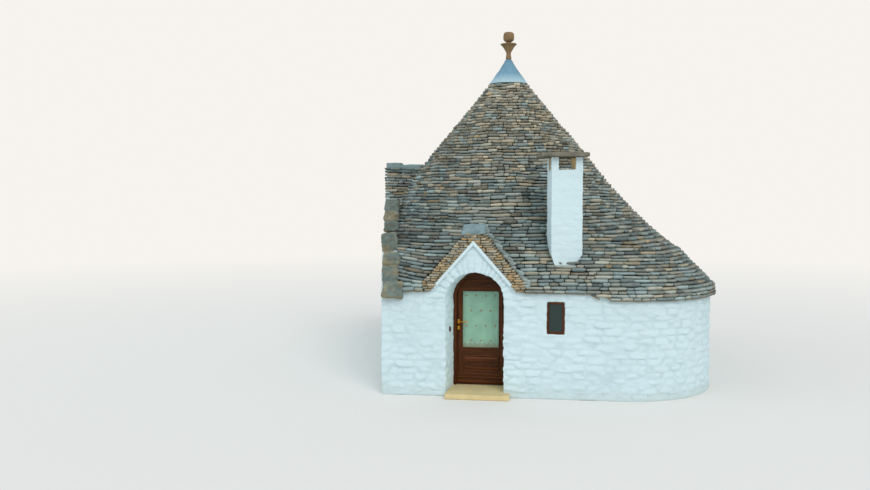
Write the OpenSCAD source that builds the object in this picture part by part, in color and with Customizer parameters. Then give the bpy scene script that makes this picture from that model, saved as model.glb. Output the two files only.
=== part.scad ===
// Trullo house: a whitewashed square room with rounded corners under a tall roof of dry-laid stone,
// with a gabled portal, a chimney standing on the roof slope and a plain party wall on its left.
// Millimetres. +Z is up, the front wall faces -Y and the origin lies on the roof's axis at the ground.

/* [Walls] */
// Half the width of the square plan, to the outer face of the walls
wall_half = 3950; // [3800:10:4100]
// Radius of the rounded corners of the plan, outside
wall_corner_r = 1800; // [1650:10:1950]
// Thickness of the masonry walls
wall_t = 1300; // [1200:10:1400]
// Height of the walls, up to the bed of the roof
wall_h = 1880; // [1840:5:1920]
// Distance from the round roof's surface, at half its height, to the party wall's outer face
party_gap = 464; // [440:2:500]
// Angle at which the party wall runs back to the left
party_turn = 10; // [8:0.5:12]
// Thickness of the party wall
party_t = 500; // [400:10:600]
// Height of the party wall, under the saddle of the roof
party_h = 2550; // [2480:10:2620]
// Thickness of the stone floor
floor_t = 90; // [80:5:100]

/* [Roof] */
// Reach of the lowest roof slabs beyond the walls
eave_out = 100; // [60:5:140]
// Height of the upright edge of the eave
eave_t = 60; // [40:5:80]
// Height at which the flatter skirt of the roof ends
skirt_z = 2550; // [2500:10:2600]
// Distance of the top of the skirt inside the walls' outer face
skirt_in = 450; // [400:5:500]
// Corner radius of the roof at the top of the skirt
skirt_corner_r = 1900; // [1750:10:2000]
// Corner radius there on the party wall's side
skirt_party_r = 900; // [700:20:1100]
// Height at which the section has become a circle
round_z = 3120; // [3050:10:3200]
// Distance of the roof's surface there inside the walls' outer face
round_in = 1045; // [1000:5:1090]
// Height at which the round roof grows steeper
flare_z = 3800; // [3750:10:3850]
// Radius of the roof there
flare_r = 2255; // [2225:5:2285]
// Height at which the solid crown begins
crown_z = 4560; // [4500:10:4620]
// Radius of the roof at the foot of the crown
crown_r = 1660; // [1630:2:1690]
// Height of the bend in the crown
bend_z = 5450; // [5400:10:5500]
// Radius of the crown at its bend
bend_r = 905; // [880:5:930]
// Height at which the stone slabs end under the white cap
cap_z = 6015; // [5975:5:6055]
// Radius of the crown under the cap
cap_r = 450; // [430:5:470]
// Thickness of the roof shell at the foot of the crown
shell_t = 1100; // [1000:10:1200]
// Height of the saddle ridge beside the party wall
saddle_z = 4225; // [4185:5:4265]

/* [Cap and pinnacle] */
// Width of the ledge of slabs round the foot of the plaster cap
plaster_in = 5; // [3:1:20]
// Height of the plaster cap
plaster_h = 560; // [530:5:590]
// Radius at the top of the plaster cap
plaster_top_r = 69; // [63:1:78]
// Radius of the pinnacle's waist
waist_r = 49; // [44:1:56]
// Height of the waist above the cap
waist_z = 118; // [106:2:130]
// Height of the foot of the dish above the cap
bowl_foot_z = 165; // [152:1:176]
// Growth of the radius from the waist to the foot of the dish
bowl_foot_w = 11; // [7:1:17]
// Height of the dish's bulge above the cap
bowl_z = 285; // [272:1:298]
// Radius of the dish at its bulge
bowl_r = 132; // [122:1:142]
// Radius of the pinnacle's dish
dish_r = 180; // [168:1:192]
// Height of the pinnacle from the cap to the rim of its dish
dish_h = 340; // [320:5:365]
// Thickness of the rim of the dish
rim_t = 18; // [14:1:24]
// Radius of the neck under the ball
neck_r = 61; // [52:1:70]
// Height of the neck
neck_h = 44; // [34:1:56]
// Radius of the ball
ball_r = 120; // [110:1:130]
// Height of the flattened ball
ball_h = 216; // [204:2:228]

/* [Portal] */
// Distance of the middle of the door opening from the axis, at the wall's face
door_x = -371; // [-400:1:-340]
// Width of the door opening at the wall's face
door_w = 1018; // [960:2:1060]
// Height at which the arch springs
spring_z = 1704; // [1680:2:1730]
// Depth of the passage in front of the inner recess
passage_d = 600; // [560:10:640]
// Loss of width of the passage from its mouth to its inner end
passage_taper = 35; // [20:1:50]
// Sideways shift of the passage from its mouth to its inner end
passage_shift = 62; // [50:1:70]
// Half the width of the block of masonry round the door
block_half = 880; // [860:5:900]
// Distance of the gable's apex from the axis
gable_x = -392; // [-420:1:-360]
// Height of the gable's apex above the recess behind the door
gable_over = 457; // [440:1:480]
// Slope of the gable's edges
gable_slope = 48.5; // [47:0.5:50]
// Width of the raised rim along the gable
rim_w = 56; // [45:1:70]
// Reach of the rim in front of the wall
rim_out = 40; // [25:1:50]
// Depth of the slabs that cover the gable, square to its edge
slab_d = 165; // [140:5:190]
// Reach of the covering slabs in front of the wall
slab_out = 20; // [10:1:24]
// Depth to which the covering slabs run back into the roof
slab_back = 1120; // [1050:10:1180]
// Length of the flat stone on the gable's top
capstone_l = 430; // [380:10:480]
// Depth of the flat stone
capstone_d = 420; // [360:10:460]
// Thickness of the flat stone
capstone_t = 75; // [60:5:90]
// Distance of the flat stone behind the wall's face
capstone_in = 120; // [100:5:140]
// Depth to which the flat stone is bedded between the slabs
capstone_bed = 60; // [45:5:70]

/* [Inner recess] */
// Width of the recess behind the door on the handle side
recess_left = 665; // [640:5:690]
// Width of the recess behind the door on the hinge side
recess_right = 665; // [640:5:690]
// Height of the recess above the passage's arch
recess_over = 134; // [120:2:150]
// Depth of the lintel over the recess
lintel_h = 230; // [200:5:260]
// Reach of the lintel into the room, under the dome
lintel_in = 330; // [280:10:380]

/* [Threshold] */
// Width of the step in front of the wall
step_w = 1260; // [1200:10:1320]
// Reach of the step in front of the wall
step_out = 250; // [200:10:300]

/* [Door] */
// Width of the frame's jambs and head
frame_w = 45; // [38:1:52]
// Depth of the frame
frame_d = 50; // [44:1:56]
// Clearance between the frame and the leaf
leaf_gap = 5; // [5:0.5:7]
// Thickness of the leaf
leaf_t = 45; // [40:1:50]
// Overlap of the leaf on its frame
leaf_lap = 15; // [12:1:20]
// Clearance under the leaf
leaf_foot = 10; // [8:1:14]
// Width of the leaf's stiles beside the glass
stile_w = 115; // [105:1:125]
// Height of the lower edge of the glass
glass_z = 770; // [750:5:790]
// Height of the glass
glass_h = 1070; // [1040:5:1090]
// Height of the lower edge of the raised panel
panel_z = 340; // [320:5:360]
// Height of the raised panel
panel_h = 300; // [280:5:330]
// Thickness of the panel
panel_t = 28; // [22:1:32]
// Thickness of the panes
pane_t = 6; // [4:1:8]
// Depth of the panes behind the outer face of their frames
pane_in = 14; // [10:1:18]
// Height of the lever handle
lever_z = 1262; // [1230:2:1290]
// Length of the lever
lever_l = 180; // [160:2:190]
// Thickness of the lever
lever_r = 9; // [7:0.5:11]
// Reach of the lever from the leaf
lever_out = 48; // [40:1:55]
// Height of the plates behind the levers
plate_h = 220; // [200:2:240]
// Width of the plates
plate_w = 42; // [36:1:48]
// Thickness of the plates
plate_t = 6; // [4:0.5:8]
// Distance of the plates from the frame's inner edge
plate_in = 14; // [10:1:18]
// Reach of the plates below the lever
plate_down = 154; // [145:1:160]
// Radius of the hinge pins
pin_r = 8; // [7:0.5:9]
// Height of one hinge pin
pin_h = 110; // [90:5:130]
// Distance of the outer pins from the leaf's foot and from the spring of its arch
pin_in = 180; // [160:5:200]
// Thickness of the plates that carry the pins
hinge_t = 3; // [2:0.5:4]
// Reach of those plates beside the pins
hinge_over = 6; // [4:1:10]

/* [Curtain] */
// Radius of the two curtain rods
rod_r = 5; // [4:0.5:6]
// Length of the rods beyond the glass at each end
rod_over = 30; // [20:1:40]
// Clearance between the leaf and the rods
rod_gap = 7; // [6:0.5:9]
// Distance from the glass to the middle of the rods
rod_up = 15; // [12:1:20]
// Thickness of the gathered curtain
curtain_t = 8; // [6:1:9]

/* [Window] */
// Distance of the window's left side from the axis
window_x = 900; // [880:5:920]
// Width of the window
window_w = 310; // [290:5:330]
// Height of the window's sill
window_z = 1150; // [1130:5:1170]
// Height of the window
window_h = 570; // [550:5:590]
// Depth of the window frame behind the wall's face
window_in = 25; // [15:1:40]
// Depth of the window frame
window_d = 60; // [50:1:70]
// Width of the window frame's members
window_bar = 42; // [36:1:48]

/* [Chimney] */
// Distance of the shaft's left front edge from the axis
chimney_x = 965; // [935:5:995]
// Distance of that edge in front of the axis
chimney_y = 3660; // [3635:5:3685]
// Width of the shaft
chimney_w = 560; // [540:5:590]
// Depth of the shaft
chimney_d = 500; // [470:5:530]
// Angle at which the shaft is turned
chimney_turn = 9.5; // [7:0.5:12]
// Height of the shaft's bed in the roof
chimney_foot = 2300; // [2280:5:2320]
// Height of the sill of the smoke openings
smoke_z = 4035; // [4000:5:4080]
// Height of the smoke openings
smoke_h = 230; // [210:5:250]
// Width of the corner posts
post_w = 130; // [110:5:145]
// Thickness of the flat slab on the posts
top_t = 80; // [65:5:95]
// Reach of the flat slab beyond the shaft
top_out = 140; // [120:5:160]
// Distance by which the flat slab is laid off centre, to the left
top_shift = 50; // [30:5:70]
// Depth of the flue below the smoke openings
flue_d = 1200; // [1000:50:1300]

/* [Verge and ridge stones] */
// Number of blocks up the left edge of the roof
verge_n = 7; // [6:1:8]
// Width of a block
verge_w = 330; // [300:5:350]
// Height of a block
verge_h = 210; // [190:5:230]
// Length of a block up the slope
verge_l = 360; // [330:5:390]
// Loss of width from one block to the next
verge_taper = 12; // [6:1:16]
// Slope of the row of blocks
verge_slope = 35; // [33:0.5:37]
// Depth of the lowest block below the bed of the roof
verge_bed = 60; // [50:5:70]
// Reach of the lowest block in front of the eave
verge_out = 60; // [45:5:75]
// Width of the open joints between blocks
joint_w = 4; // [3:0.5:6]
// Number of stones on the saddle ridge
ridge_n = 3; // [2:1:4]
// Length of the row of ridge stones
ridge_l = 1000; // [900:10:1060]
// Width of a ridge stone
ridge_w = 340; // [300:10:380]
// Height of a ridge stone above the ridge
ridge_h = 65; // [50:5:85]
// Depth to which the ridge stones are bedded
ridge_bed = 120; // [100:5:140]
// Distance of the first stone from the party wall's outer face
ridge_in = 40; // [30:5:60]
// Extra height of the first stone
ridge_first = 40; // [30:5:50]

/* [Doorbell] */
// Height of the doorbell's middle
bell_z = 1170; // [1150:5:1190]
// Height of the doorbell
bell_h = 90; // [80:2:100]
// Width of the doorbell
bell_w = 50; // [44:1:56]
// Thickness of the doorbell
bell_t = 22; // [18:1:26]
// Depth of the doorbell behind the wall's face
bell_in = 240; // [200:5:280]

/* [Hidden] */
$fn = 64;

// A length past everything, the overrun of cuts, and the room left between seated pieces
big = 12000;
over = 1;
seat = 0.3;
// Levels, planes and distances that follow from the sizes above
skirt_half = wall_half - skirt_in;
round_r = wall_half - round_in;
plaster_r = cap_r - plaster_in;
party_x = (round_r + crown_r)/2 + party_gap;
passage_w = door_w - passage_taper;
recess_h = spring_z + passage_w/2 + recess_over;
gable_z = recess_h + gable_over;
front_y = -wall_half;
inner_half = wall_half - wall_t;
inner_corner_r = wall_corner_r - wall_t;
corner_c = wall_half - wall_corner_r;
eave_half = wall_half + eave_out;
eave_corner_r = wall_corner_r + eave_out;
block_l = door_x - block_half;
block_r = door_x + block_half;
passage_y = front_y + passage_d;
passage_x = door_x + passage_shift;
recess_l = passage_x - recess_left;
recess_r = passage_x + recess_right;
frame_y = passage_y - frame_d;
leaf_w = passage_w - 2*frame_w + 2*leaf_lap;
leaf_l = passage_x - leaf_w/2;
leaf_r = passage_x + leaf_w/2;
leaf_y = passage_y + leaf_gap;
leaf_z = floor_t + leaf_foot;
glass_l = leaf_l + stile_w;
glass_w = leaf_w - 2*stile_w;
hinge_x = leaf_r + pin_r + seat;
hinge_y = passage_y + pin_r;
lever_x = leaf_l + leaf_lap + plate_in + plate_w/2;
rod_y = leaf_y + leaf_t + rod_gap + rod_r;

// Height, half width and corner radii of the roof, from the eave to the foot of the crown:
// first the radius on the right, then the one on the party wall's side
roof_levels = [
    [wall_h, eave_half, eave_corner_r, 0],
    [wall_h + eave_t, eave_half, eave_corner_r, 0],
    [skirt_z, skirt_half, skirt_corner_r, skirt_party_r],
    [round_z, round_r, round_r, round_r],
    [flare_z, flare_r, flare_r, flare_r],
    [crown_z, crown_r, crown_r, crown_r]
];
// Directions at which the roof is divided, seen from the axis
roof_cuts = [-160, -120, -60, -25, 25, 70, 110, 155, 200];
roof_step = 5;

white = [0.93, 0.95, 0.97];
slab_grey = [0.50, 0.48, 0.45];
pale_grey = [0.62, 0.67, 0.70];
ochre = [0.66, 0.52, 0.34];
wood = [0.22, 0.11, 0.07];
brass = [0.80, 0.60, 0.25];
beige = [0.82, 0.74, 0.60];

// Distance from the axis to a square outline of half width h and corner radius r, at an angle
function fold(a) = let (b = abs(a) % 90) min(b, 90 - b);
function outline_r(h, r, a) =
    let (t = fold(a), c = h - r)
    h*tan(t) <= c ? h/cos(t) : c*(cos(t) + sin(t)) + sqrt(r*r - pow(c*(cos(t) - sin(t)), 2));
function outline_point(l, a) =
    let (d = outline_r(l[1], cos(a) < 0 ? l[3] : l[2], a)) [d*cos(a), d*sin(a), l[0]];

// Thickness of the roof shell at a height, and the level inside the shell
function shell_at(z) =
    wall_t + eave_out + (shell_t - wall_t - eave_out)*(z - wall_h)/(crown_z - wall_h);
function inside(l) =
    let (t = shell_at(l[0])) [l[0], l[1] - t, max(0, l[2] - t), max(0, l[3] - t)];

// The part of space to the right of the party wall's outer face, moved in by a distance
module beside_party(inset) {
    translate([-party_x, 0, 0])
        rotate([0, 0, party_turn])
            translate([inset, -big, -big])
                cube([2*big, 2*big, 2*big]);
}

// The part of space to the left of that plane moved in by a distance
module past_party(inset) {
    translate([-party_x, 0, 0])
        rotate([0, 0, party_turn])
            translate([inset - 2*big, -big, -big])
                cube([2*big, 2*big, 2*big]);
}

// All that the roof leaves to the party wall and to the house beyond it
module past_wall() {
    past_party(0);
    intersection() {
        past_party(party_t);
        translate([-big, -big, 0])
            cube([2*big, 2*big, party_h]);
    }
}

// One part of the roof shell between two directions
module roof_part(k) {
    from = roof_cuts[k];
    n = (roof_cuts[k + 1] - from)/roof_step;
    rows = len(roof_levels);
    m = n + 1;
    q = rows*m;
    outer = [for (l = roof_levels) for (j = [0:n]) outline_point(l, from + j*roof_step)];
    inner = [for (l = roof_levels) for (j = [0:n]) outline_point(inside(l), from + j*roof_step)];
    quads = [for (i = [0:rows - 2]) for (j = [0:n - 1]) [i*m + j, (i + 1)*m + j]];
    top = (rows - 1)*m;
    faces = concat(
        [for (f = quads) [f[0], f[1], f[1] + 1]],
        [for (f = quads) [f[0], f[1] + 1, f[0] + 1]],
        [for (f = quads) [q + f[0], q + f[1] + 1, q + f[1]]],
        [for (f = quads) [q + f[0], q + f[0] + 1, q + f[1] + 1]],
        [for (j = [0:n - 1]) [j, j + 1, q + j + 1, q + j]],
        [for (j = [0:n - 1]) [top + j, q + top + j, q + top + j + 1, top + j + 1]],
        [for (i = [0:rows - 2]) [i*m, q + i*m, q + (i + 1)*m, (i + 1)*m]],
        [for (i = [0:rows - 2]) [i*m + n, (i + 1)*m + n, q + (i + 1)*m + n, q + i*m + n]]
    );
    polyhedron(points = concat(outer, inner), faces = faces);
}

// The whole body of the roof up to its surface, solid, for fitting what meets it
module roof_body() {
    rows = len(roof_levels);
    m = 360/roof_step;
    points = [for (l = roof_levels) for (j = [0:m - 1]) outline_point(l, j*roof_step)];
    quads = [for (i = [0:rows - 2]) for (j = [0:m - 1]) [i*m + j, i*m + (j + 1)%m]];
    top = (rows - 1)*m;
    polyhedron(
        points = concat(points, [[0, 0, wall_h], [0, 0, crown_z]]),
        faces = concat(
            [for (f = quads) [f[0], f[0] + m, f[1] + m]],
            [for (f = quads) [f[0], f[1] + m, f[1]]],
            [for (j = [0:m - 1]) [rows*m, j, (j + 1)%m]],
            [for (j = [0:m - 1]) [rows*m + 1, top + (j + 1)%m, top + j]]
        )
    );
}

// The ridged body that fills the corner between the round roof and the party wall
module saddle_body() {
    translate([-big/2, 0, 0])
        rotate([90, 0, 90])
            linear_extrude(height = big/2 - crown_r/2)
                polygon([[-eave_half, wall_h + eave_t], [eave_half, wall_h + eave_t],
                    [0, saddle_z]]);
}

// The room's plan as a prism from one height to another
module room(from, to) {
    intersection() {
        union() {
            translate([-wall_half, -inner_half, from])
                cube([wall_half + corner_c, 2*inner_half, to - from]);
            translate([0, -corner_c, from])
                cube([inner_half, 2*corner_c, to - from]);
            for (side = [-1, 1])
                translate([corner_c, side*corner_c, from])
                    cylinder(h = to - from, r = inner_corner_r);
        }
        beside_party(party_t);
    }
}

// The arched passage of the door, which runs a little askew
module passage() {
    skew = atan(passage_shift/passage_d);
    long = passage_d/cos(skew);
    ends = 100;
    widen = ends*passage_taper/2/long;
    linear_extrude(height = spring_z)
        polygon([[door_x - door_w/2, front_y], [door_x + door_w/2, front_y],
            [passage_x + passage_w/2, passage_y], [passage_x - passage_w/2, passage_y]]);
    translate([door_x, front_y, spring_z])
        rotate([0, 0, -skew])
            rotate([-90, 0, 0])
                translate([0, 0, -ends])
                    cylinder(h = long + 2*ends, r1 = door_w/2 + widen, r2 = passage_w/2 - widen);
}

// The gable's outline in the plane of the wall, raised square to its edges by a distance
module gable_outline(raise) {
    half = (gable_z - wall_h)/tan(gable_slope);
    up = raise/cos(gable_slope);
    side = raise/sin(gable_slope);
    polygon([[gable_x - half - side, wall_h], [gable_x + half + side, wall_h],
        [gable_x, gable_z + up]]);
}

// A shape drawn in the plane of the wall, pushed from one depth to another
module upright(from, to) {
    translate([0, to, 0])
        rotate([90, 0, 0])
            linear_extrude(height = to - from)
                children();
}

// An upright outline with a round head, from one side to the other
module arched(l, r, z) {
    translate([l, z])
        square([r - l, spring_z - z]);
    translate([(l + r)/2, spring_z])
        circle(r = (r - l)/2);
}

// The chimney's own frame, turned and with its origin on the shaft's left front edge
module chimney_place() {
    translate([chimney_x, -chimney_y, 0])
        rotate([0, 0, chimney_turn])
            children();
}

module floor() {
    color(beige) {
        room(0, floor_t);
        translate([recess_l, passage_y, 0])
            cube([recess_r - recess_l, wall_t - passage_d, floor_t]);
    }
}

module threshold() {
    color(beige) {
        translate([door_x - step_w/2, front_y - step_out, 0])
            cube([step_w, step_out, floor_t]);
        intersection() {
            passage();
            translate([-big, -big, 0])
                cube([2*big, 2*big, floor_t]);
        }
    }
}

module jamb_left() {
    color(white)
        difference() {
            union() {
                translate([block_l, front_y, 0])
                    cube([passage_x - block_l, passage_d, spring_z]);
                translate([block_l, passage_y, 0])
                    cube([recess_l - block_l, wall_t - passage_d, recess_h]);
            }
            passage();
        }
}

module jamb_right() {
    color(white)
        difference() {
            union() {
                translate([passage_x, front_y, 0])
                    cube([block_r - passage_x, passage_d, spring_z]);
                translate([recess_r, passage_y, 0])
                    cube([block_r - recess_r, wall_t - passage_d, recess_h]);
            }
            passage();
        }
}

module front_wall_left() {
    color(white)
        intersection() {
            translate([-wall_half, front_y, 0])
                cube([wall_half + block_l, wall_t, wall_h]);
            beside_party(party_t);
        }
}

module front_wall_right() {
    color(white)
        difference() {
            translate([block_r, front_y, 0])
                cube([corner_c - block_r, wall_t, wall_h]);
            translate([window_x, front_y - over, window_z])
                cube([window_w, wall_t + 2*over, window_h]);
        }
}

module corner_wall(turn) {
    rotate([0, 0, turn])
        translate([corner_c, corner_c, 0])
            rotate_extrude(angle = 90)
                translate([inner_corner_r, 0])
                    square([wall_t, wall_h]);
}

module corner_wall_front() {
    color(white)
        corner_wall(-90);
}

module right_wall() {
    color(white)
        translate([inner_half, -corner_c, 0])
            cube([wall_t, 2*corner_c, wall_h]);
}

module corner_wall_back() {
    color(white)
        corner_wall(0);
}

module back_wall() {
    color(white)
        intersection() {
            translate([-wall_half, inner_half, 0])
                cube([wall_half + corner_c, wall_t, wall_h]);
            beside_party(party_t);
        }
}

// The whole plan left of the axis, up to the bed of the roof
module left_block() {
    translate([-wall_half, front_y, 0])
        cube([wall_half, 2*wall_half, wall_h]);
}

module party_wall() {
    color(white)
        difference() {
            union() {
                left_block();
                roof_body();
                saddle_body();
            }
            past_party(0);
            beside_party(party_t);
            translate([-big, -big, party_h])
                cube([2*big, 2*big, big]);
        }
}

module portal_arch() {
    color(white)
        difference() {
            upright(front_y, passage_y)
                union() {
                    translate([block_l, spring_z])
                        square([block_r - block_l, wall_h - spring_z]);
                    gable_outline(0);
                }
            passage();
        }
}

module recess_lintel() {
    color(white)
        translate([block_l, passage_y, recess_h])
            cube([block_r - block_l, wall_t - passage_d + lintel_in, lintel_h]);
}

module gable_rim() {
    color(white)
        upright(front_y - rim_out, front_y)
            difference() {
                gable_outline(0);
                gable_outline(-rim_w);
            }
}

module gable_cover() {
    difference() {
        upright(front_y - slab_out, front_y + slab_back)
            difference() {
                gable_outline(slab_d);
                gable_outline(0);
            }
        roof_body();
    }
}

module gable_slabs_left() {
    color(ochre)
        intersection() {
            gable_cover();
            translate([gable_x - big, -big, 0])
                cube([big, 2*big, big]);
        }
}

module gable_slabs_right() {
    color(ochre)
        intersection() {
            gable_cover();
            translate([gable_x, -big, 0])
                cube([big, 2*big, big]);
        }
}

module gable_capstone() {
    top = gable_z + slab_d/cos(gable_slope);
    color(pale_grey)
        difference() {
            translate([gable_x - capstone_l/2, front_y + capstone_in, top - capstone_bed])
                cube([capstone_l, capstone_d, capstone_t]);
            upright(front_y - slab_out, front_y + wall_t)
                gable_outline(slab_d);
            roof_body();
        }
}

module roof_front() {
    color(slab_grey)
        difference() {
            roof_part(1);
            past_wall();
            upright(front_y - wall_t, passage_y)
                gable_outline(0);
            translate([block_l, passage_y, 0])
                cube([block_r - block_l, 2*wall_t, recess_h + lintel_h]);
            chimney_place()
                translate([0, 0, chimney_foot])
                    cube([chimney_w, chimney_d, big]);
        }
}

module roof_front_left() {
    color(slab_grey)
        difference() {
            roof_part(0);
            past_wall();
        }
}

module roof_front_right() {
    color(slab_grey)
        roof_part(2);
}

module roof_right() {
    color(slab_grey)
        roof_part(3);
}

module roof_back_right() {
    color(slab_grey)
        roof_part(4);
}

module roof_back() {
    color(slab_grey)
        roof_part(5);
}

module roof_back_left() {
    color(slab_grey)
        difference() {
            roof_part(6);
            past_wall();
        }
}

module roof_left() {
    color(slab_grey)
        difference() {
            roof_part(7);
            past_wall();
        }
}

module roof_saddle() {
    color(slab_grey)
        difference() {
            saddle_body();
            roof_body();
            past_wall();
        }
}

module ridge_stones() {
    stone_l = ridge_l/ridge_n;
    color(pale_grey)
        difference() {
            for (i = [0:ridge_n - 1])
                translate([ridge_in - party_x + i*stone_l, -ridge_w/2, saddle_z - ridge_bed])
                    cube([stone_l - joint_w, ridge_w,
                        ridge_bed + ridge_h + (i == 0 ? ridge_first : 0)]);
            saddle_body();
            roof_body();
        }
}

module verge_stones() {
    run = verge_l*cos(verge_slope);
    rise = verge_l*sin(verge_slope);
    foot_x = wall_half*tan(party_turn) - party_x;
    color(pale_grey)
        difference() {
            for (i = [0:verge_n - 1])
                translate([foot_x - i*run*tan(party_turn),
                    front_y - eave_out - verge_out + i*run, wall_h - verge_bed + i*rise])
                    rotate([0, 0, party_turn])
                        cube([verge_w - i*verge_taper, run - joint_w, verge_h + rise]);
            left_block();
            roof_body();
            saddle_body();
        }
}

module roof_crown() {
    color(slab_grey)
        rotate_extrude()
            polygon([[0, crown_z], [crown_r, crown_z], [bend_r, bend_z], [cap_r, cap_z],
                [0, cap_z]]);
}

module plaster_cap() {
    color(white)
        translate([0, 0, cap_z])
            cylinder(h = plaster_h, r1 = plaster_r, r2 = plaster_top_r);
}

module pinnacle_stem() {
    color(slab_grey)
        translate([0, 0, cap_z + plaster_h])
            rotate_extrude()
                polygon([[0, 0], [plaster_top_r, 0], [waist_r, waist_z],
                    [waist_r + bowl_foot_w, bowl_foot_z], [bowl_r, bowl_z],
                    [dish_r, dish_h - rim_t], [dish_r, dish_h], [neck_r, dish_h],
                    [neck_r, dish_h + neck_h], [0, dish_h + neck_h]]);
}

module pinnacle_ball() {
    color(slab_grey)
        translate([0, 0, cap_z + plaster_h + dish_h + neck_h])
            rotate_extrude()
                polygon(concat([[0, 0], [neck_r, 0]],
                    [for (a = [-50:10:80]) [ball_r*cos(a), ball_h/2 + ball_h/2*sin(a)]],
                    [[0, ball_h]]));
}

module chimney_shaft() {
    color(white)
        chimney_place()
            difference() {
                translate([0, 0, chimney_foot])
                    cube([chimney_w, chimney_d, smoke_z - chimney_foot]);
                translate([post_w, post_w, smoke_z - flue_d])
                    cube([chimney_w - 2*post_w, chimney_d - 2*post_w, flue_d + over]);
            }
}

module chimney_posts() {
    color(white)
        chimney_place()
            for (x = [0, chimney_w - post_w])
                for (y = [0, chimney_d - post_w])
                    translate([x, y, smoke_z])
                        cube([post_w, post_w, smoke_h]);
}

module chimney_slab() {
    color(slab_grey)
        chimney_place()
            translate([-top_out - top_shift, -top_out, smoke_z + smoke_h])
                cube([chimney_w + 2*top_out, chimney_d + 2*top_out, top_t]);
}

module door_frame() {
    color(wood)
        difference() {
            intersection() {
                passage();
                translate([-big, frame_y, floor_t])
                    cube([2*big, frame_d, big]);
            }
            upright(frame_y - over, passage_y + over)
                arched(leaf_l + leaf_lap, leaf_r - leaf_lap, 0);
        }
}

module door_hinges() {
    color(brass)
        for (z = [leaf_z + pin_in, glass_z + pin_h, spring_z - pin_in]) {
            translate([hinge_x, hinge_y, z])
                cylinder(h = pin_h, r = pin_r);
            translate([hinge_x, passage_y, z])
                cube([2*pin_r + hinge_over, hinge_t, pin_h]);
        }
}

module door_leaf() {
    color(wood)
        difference() {
            upright(leaf_y, leaf_y + leaf_t)
                arched(leaf_l, leaf_r, leaf_z);
            translate([glass_l, leaf_y - over, glass_z])
                cube([glass_w, leaf_t + 2*over, glass_h]);
            translate([glass_l, leaf_y - over, panel_z])
                cube([glass_w, leaf_t + 2*over, panel_h]);
        }
}

module door_panel() {
    color(wood)
        translate([glass_l, leaf_y + (leaf_t - panel_t)/2, panel_z])
            cube([glass_w, panel_t, panel_h]);
}

module door_glass() {
    color([0.6, 0.8, 0.75, 0.5])
        translate([glass_l, leaf_y + pane_in, glass_z])
            cube([glass_w, pane_t, glass_h]);
}

// A lever on its plate, in front of the leaf's face at y or behind it
module lever_set(y, side) {
    translate([lever_x - plate_w/2, side < 0 ? y - plate_t : y, lever_z - plate_down])
        cube([plate_w, plate_t, plate_h]);
    translate([lever_x, y, lever_z])
        rotate([side*-90, 0, 0])
            cylinder(h = lever_out, r = lever_r);
    translate([lever_x, y + side*lever_out, lever_z])
        rotate([0, 90, 0])
            cylinder(h = lever_l, r = lever_r);
}

module door_handles() {
    color(brass) {
        lever_set(leaf_y, -1);
        lever_set(leaf_y + leaf_t, 1);
    }
}

module curtain_rods() {
    color(brass)
        for (z = [glass_z - rod_up, glass_z + glass_h + rod_up]) {
            translate([glass_l - rod_over, rod_y, z])
                rotate([0, 90, 0])
                    cylinder(h = glass_w + 2*rod_over, r = rod_r);
            for (x = [glass_l - rod_over, glass_l + glass_w + rod_over - 2*rod_r])
                translate([x, leaf_y + leaf_t, z - rod_r])
                    cube([2*rod_r, rod_gap + rod_r, 2*rod_r]);
        }
}

module door_curtain() {
    hem = rod_up - rod_r - seat;
    color([0.75, 0.9, 0.85])
        translate([glass_l - rod_over/2, rod_y - curtain_t/2, glass_z - hem])
            cube([glass_w + rod_over, curtain_t, glass_h + 2*hem]);
}

module window_frame() {
    color(wood)
        upright(front_y + window_in, front_y + window_in + window_d)
            difference() {
                translate([window_x, window_z])
                    square([window_w, window_h]);
                translate([window_x + window_bar, window_z + window_bar])
                    square([window_w - 2*window_bar, window_h - 2*window_bar]);
            }
}

module window_glass() {
    color([0.2, 0.35, 0.38, 0.6])
        translate([window_x + window_bar, front_y + window_in + pane_in, window_z + window_bar])
            cube([window_w - 2*window_bar, pane_t, window_h - 2*window_bar]);
}

module doorbell() {
    lean = atan((passage_shift + passage_taper/2)/passage_d);
    color(wood)
        translate([door_x - door_w/2, front_y, 0])
            rotate([0, 0, -lean])
                translate([0, bell_in, bell_z - bell_h/2])
                    cube([bell_t, bell_w, bell_h]);
}

floor();
threshold();
jamb_left();
jamb_right();
front_wall_left();
front_wall_right();
corner_wall_front();
right_wall();
corner_wall_back();
back_wall();
party_wall();
portal_arch();
recess_lintel();
gable_rim();
gable_slabs_left();
gable_slabs_right();
gable_capstone();
roof_front_left();
roof_front();
roof_front_right();
roof_right();
roof_back_right();
roof_back();
roof_back_left();
roof_left();
roof_saddle();
ridge_stones();
verge_stones();
roof_crown();
plaster_cap();
pinnacle_stem();
pinnacle_ball();
chimney_shaft();
chimney_posts();
chimney_slab();
door_frame();
door_hinges();
door_leaf();
door_panel();
door_glass();
door_handles();
curtain_rods();
door_curtain();
window_frame();
window_glass();
doorbell();
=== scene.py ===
"""Looks of the trullo house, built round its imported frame. Metres, Z up, the front faces -Y."""

import math
from collections import namedtuple

import bmesh
import bpy
import numpy as np
from bpy.props import FloatProperty, FloatVectorProperty, PointerProperty
from mathutils import Matrix, Vector


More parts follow.
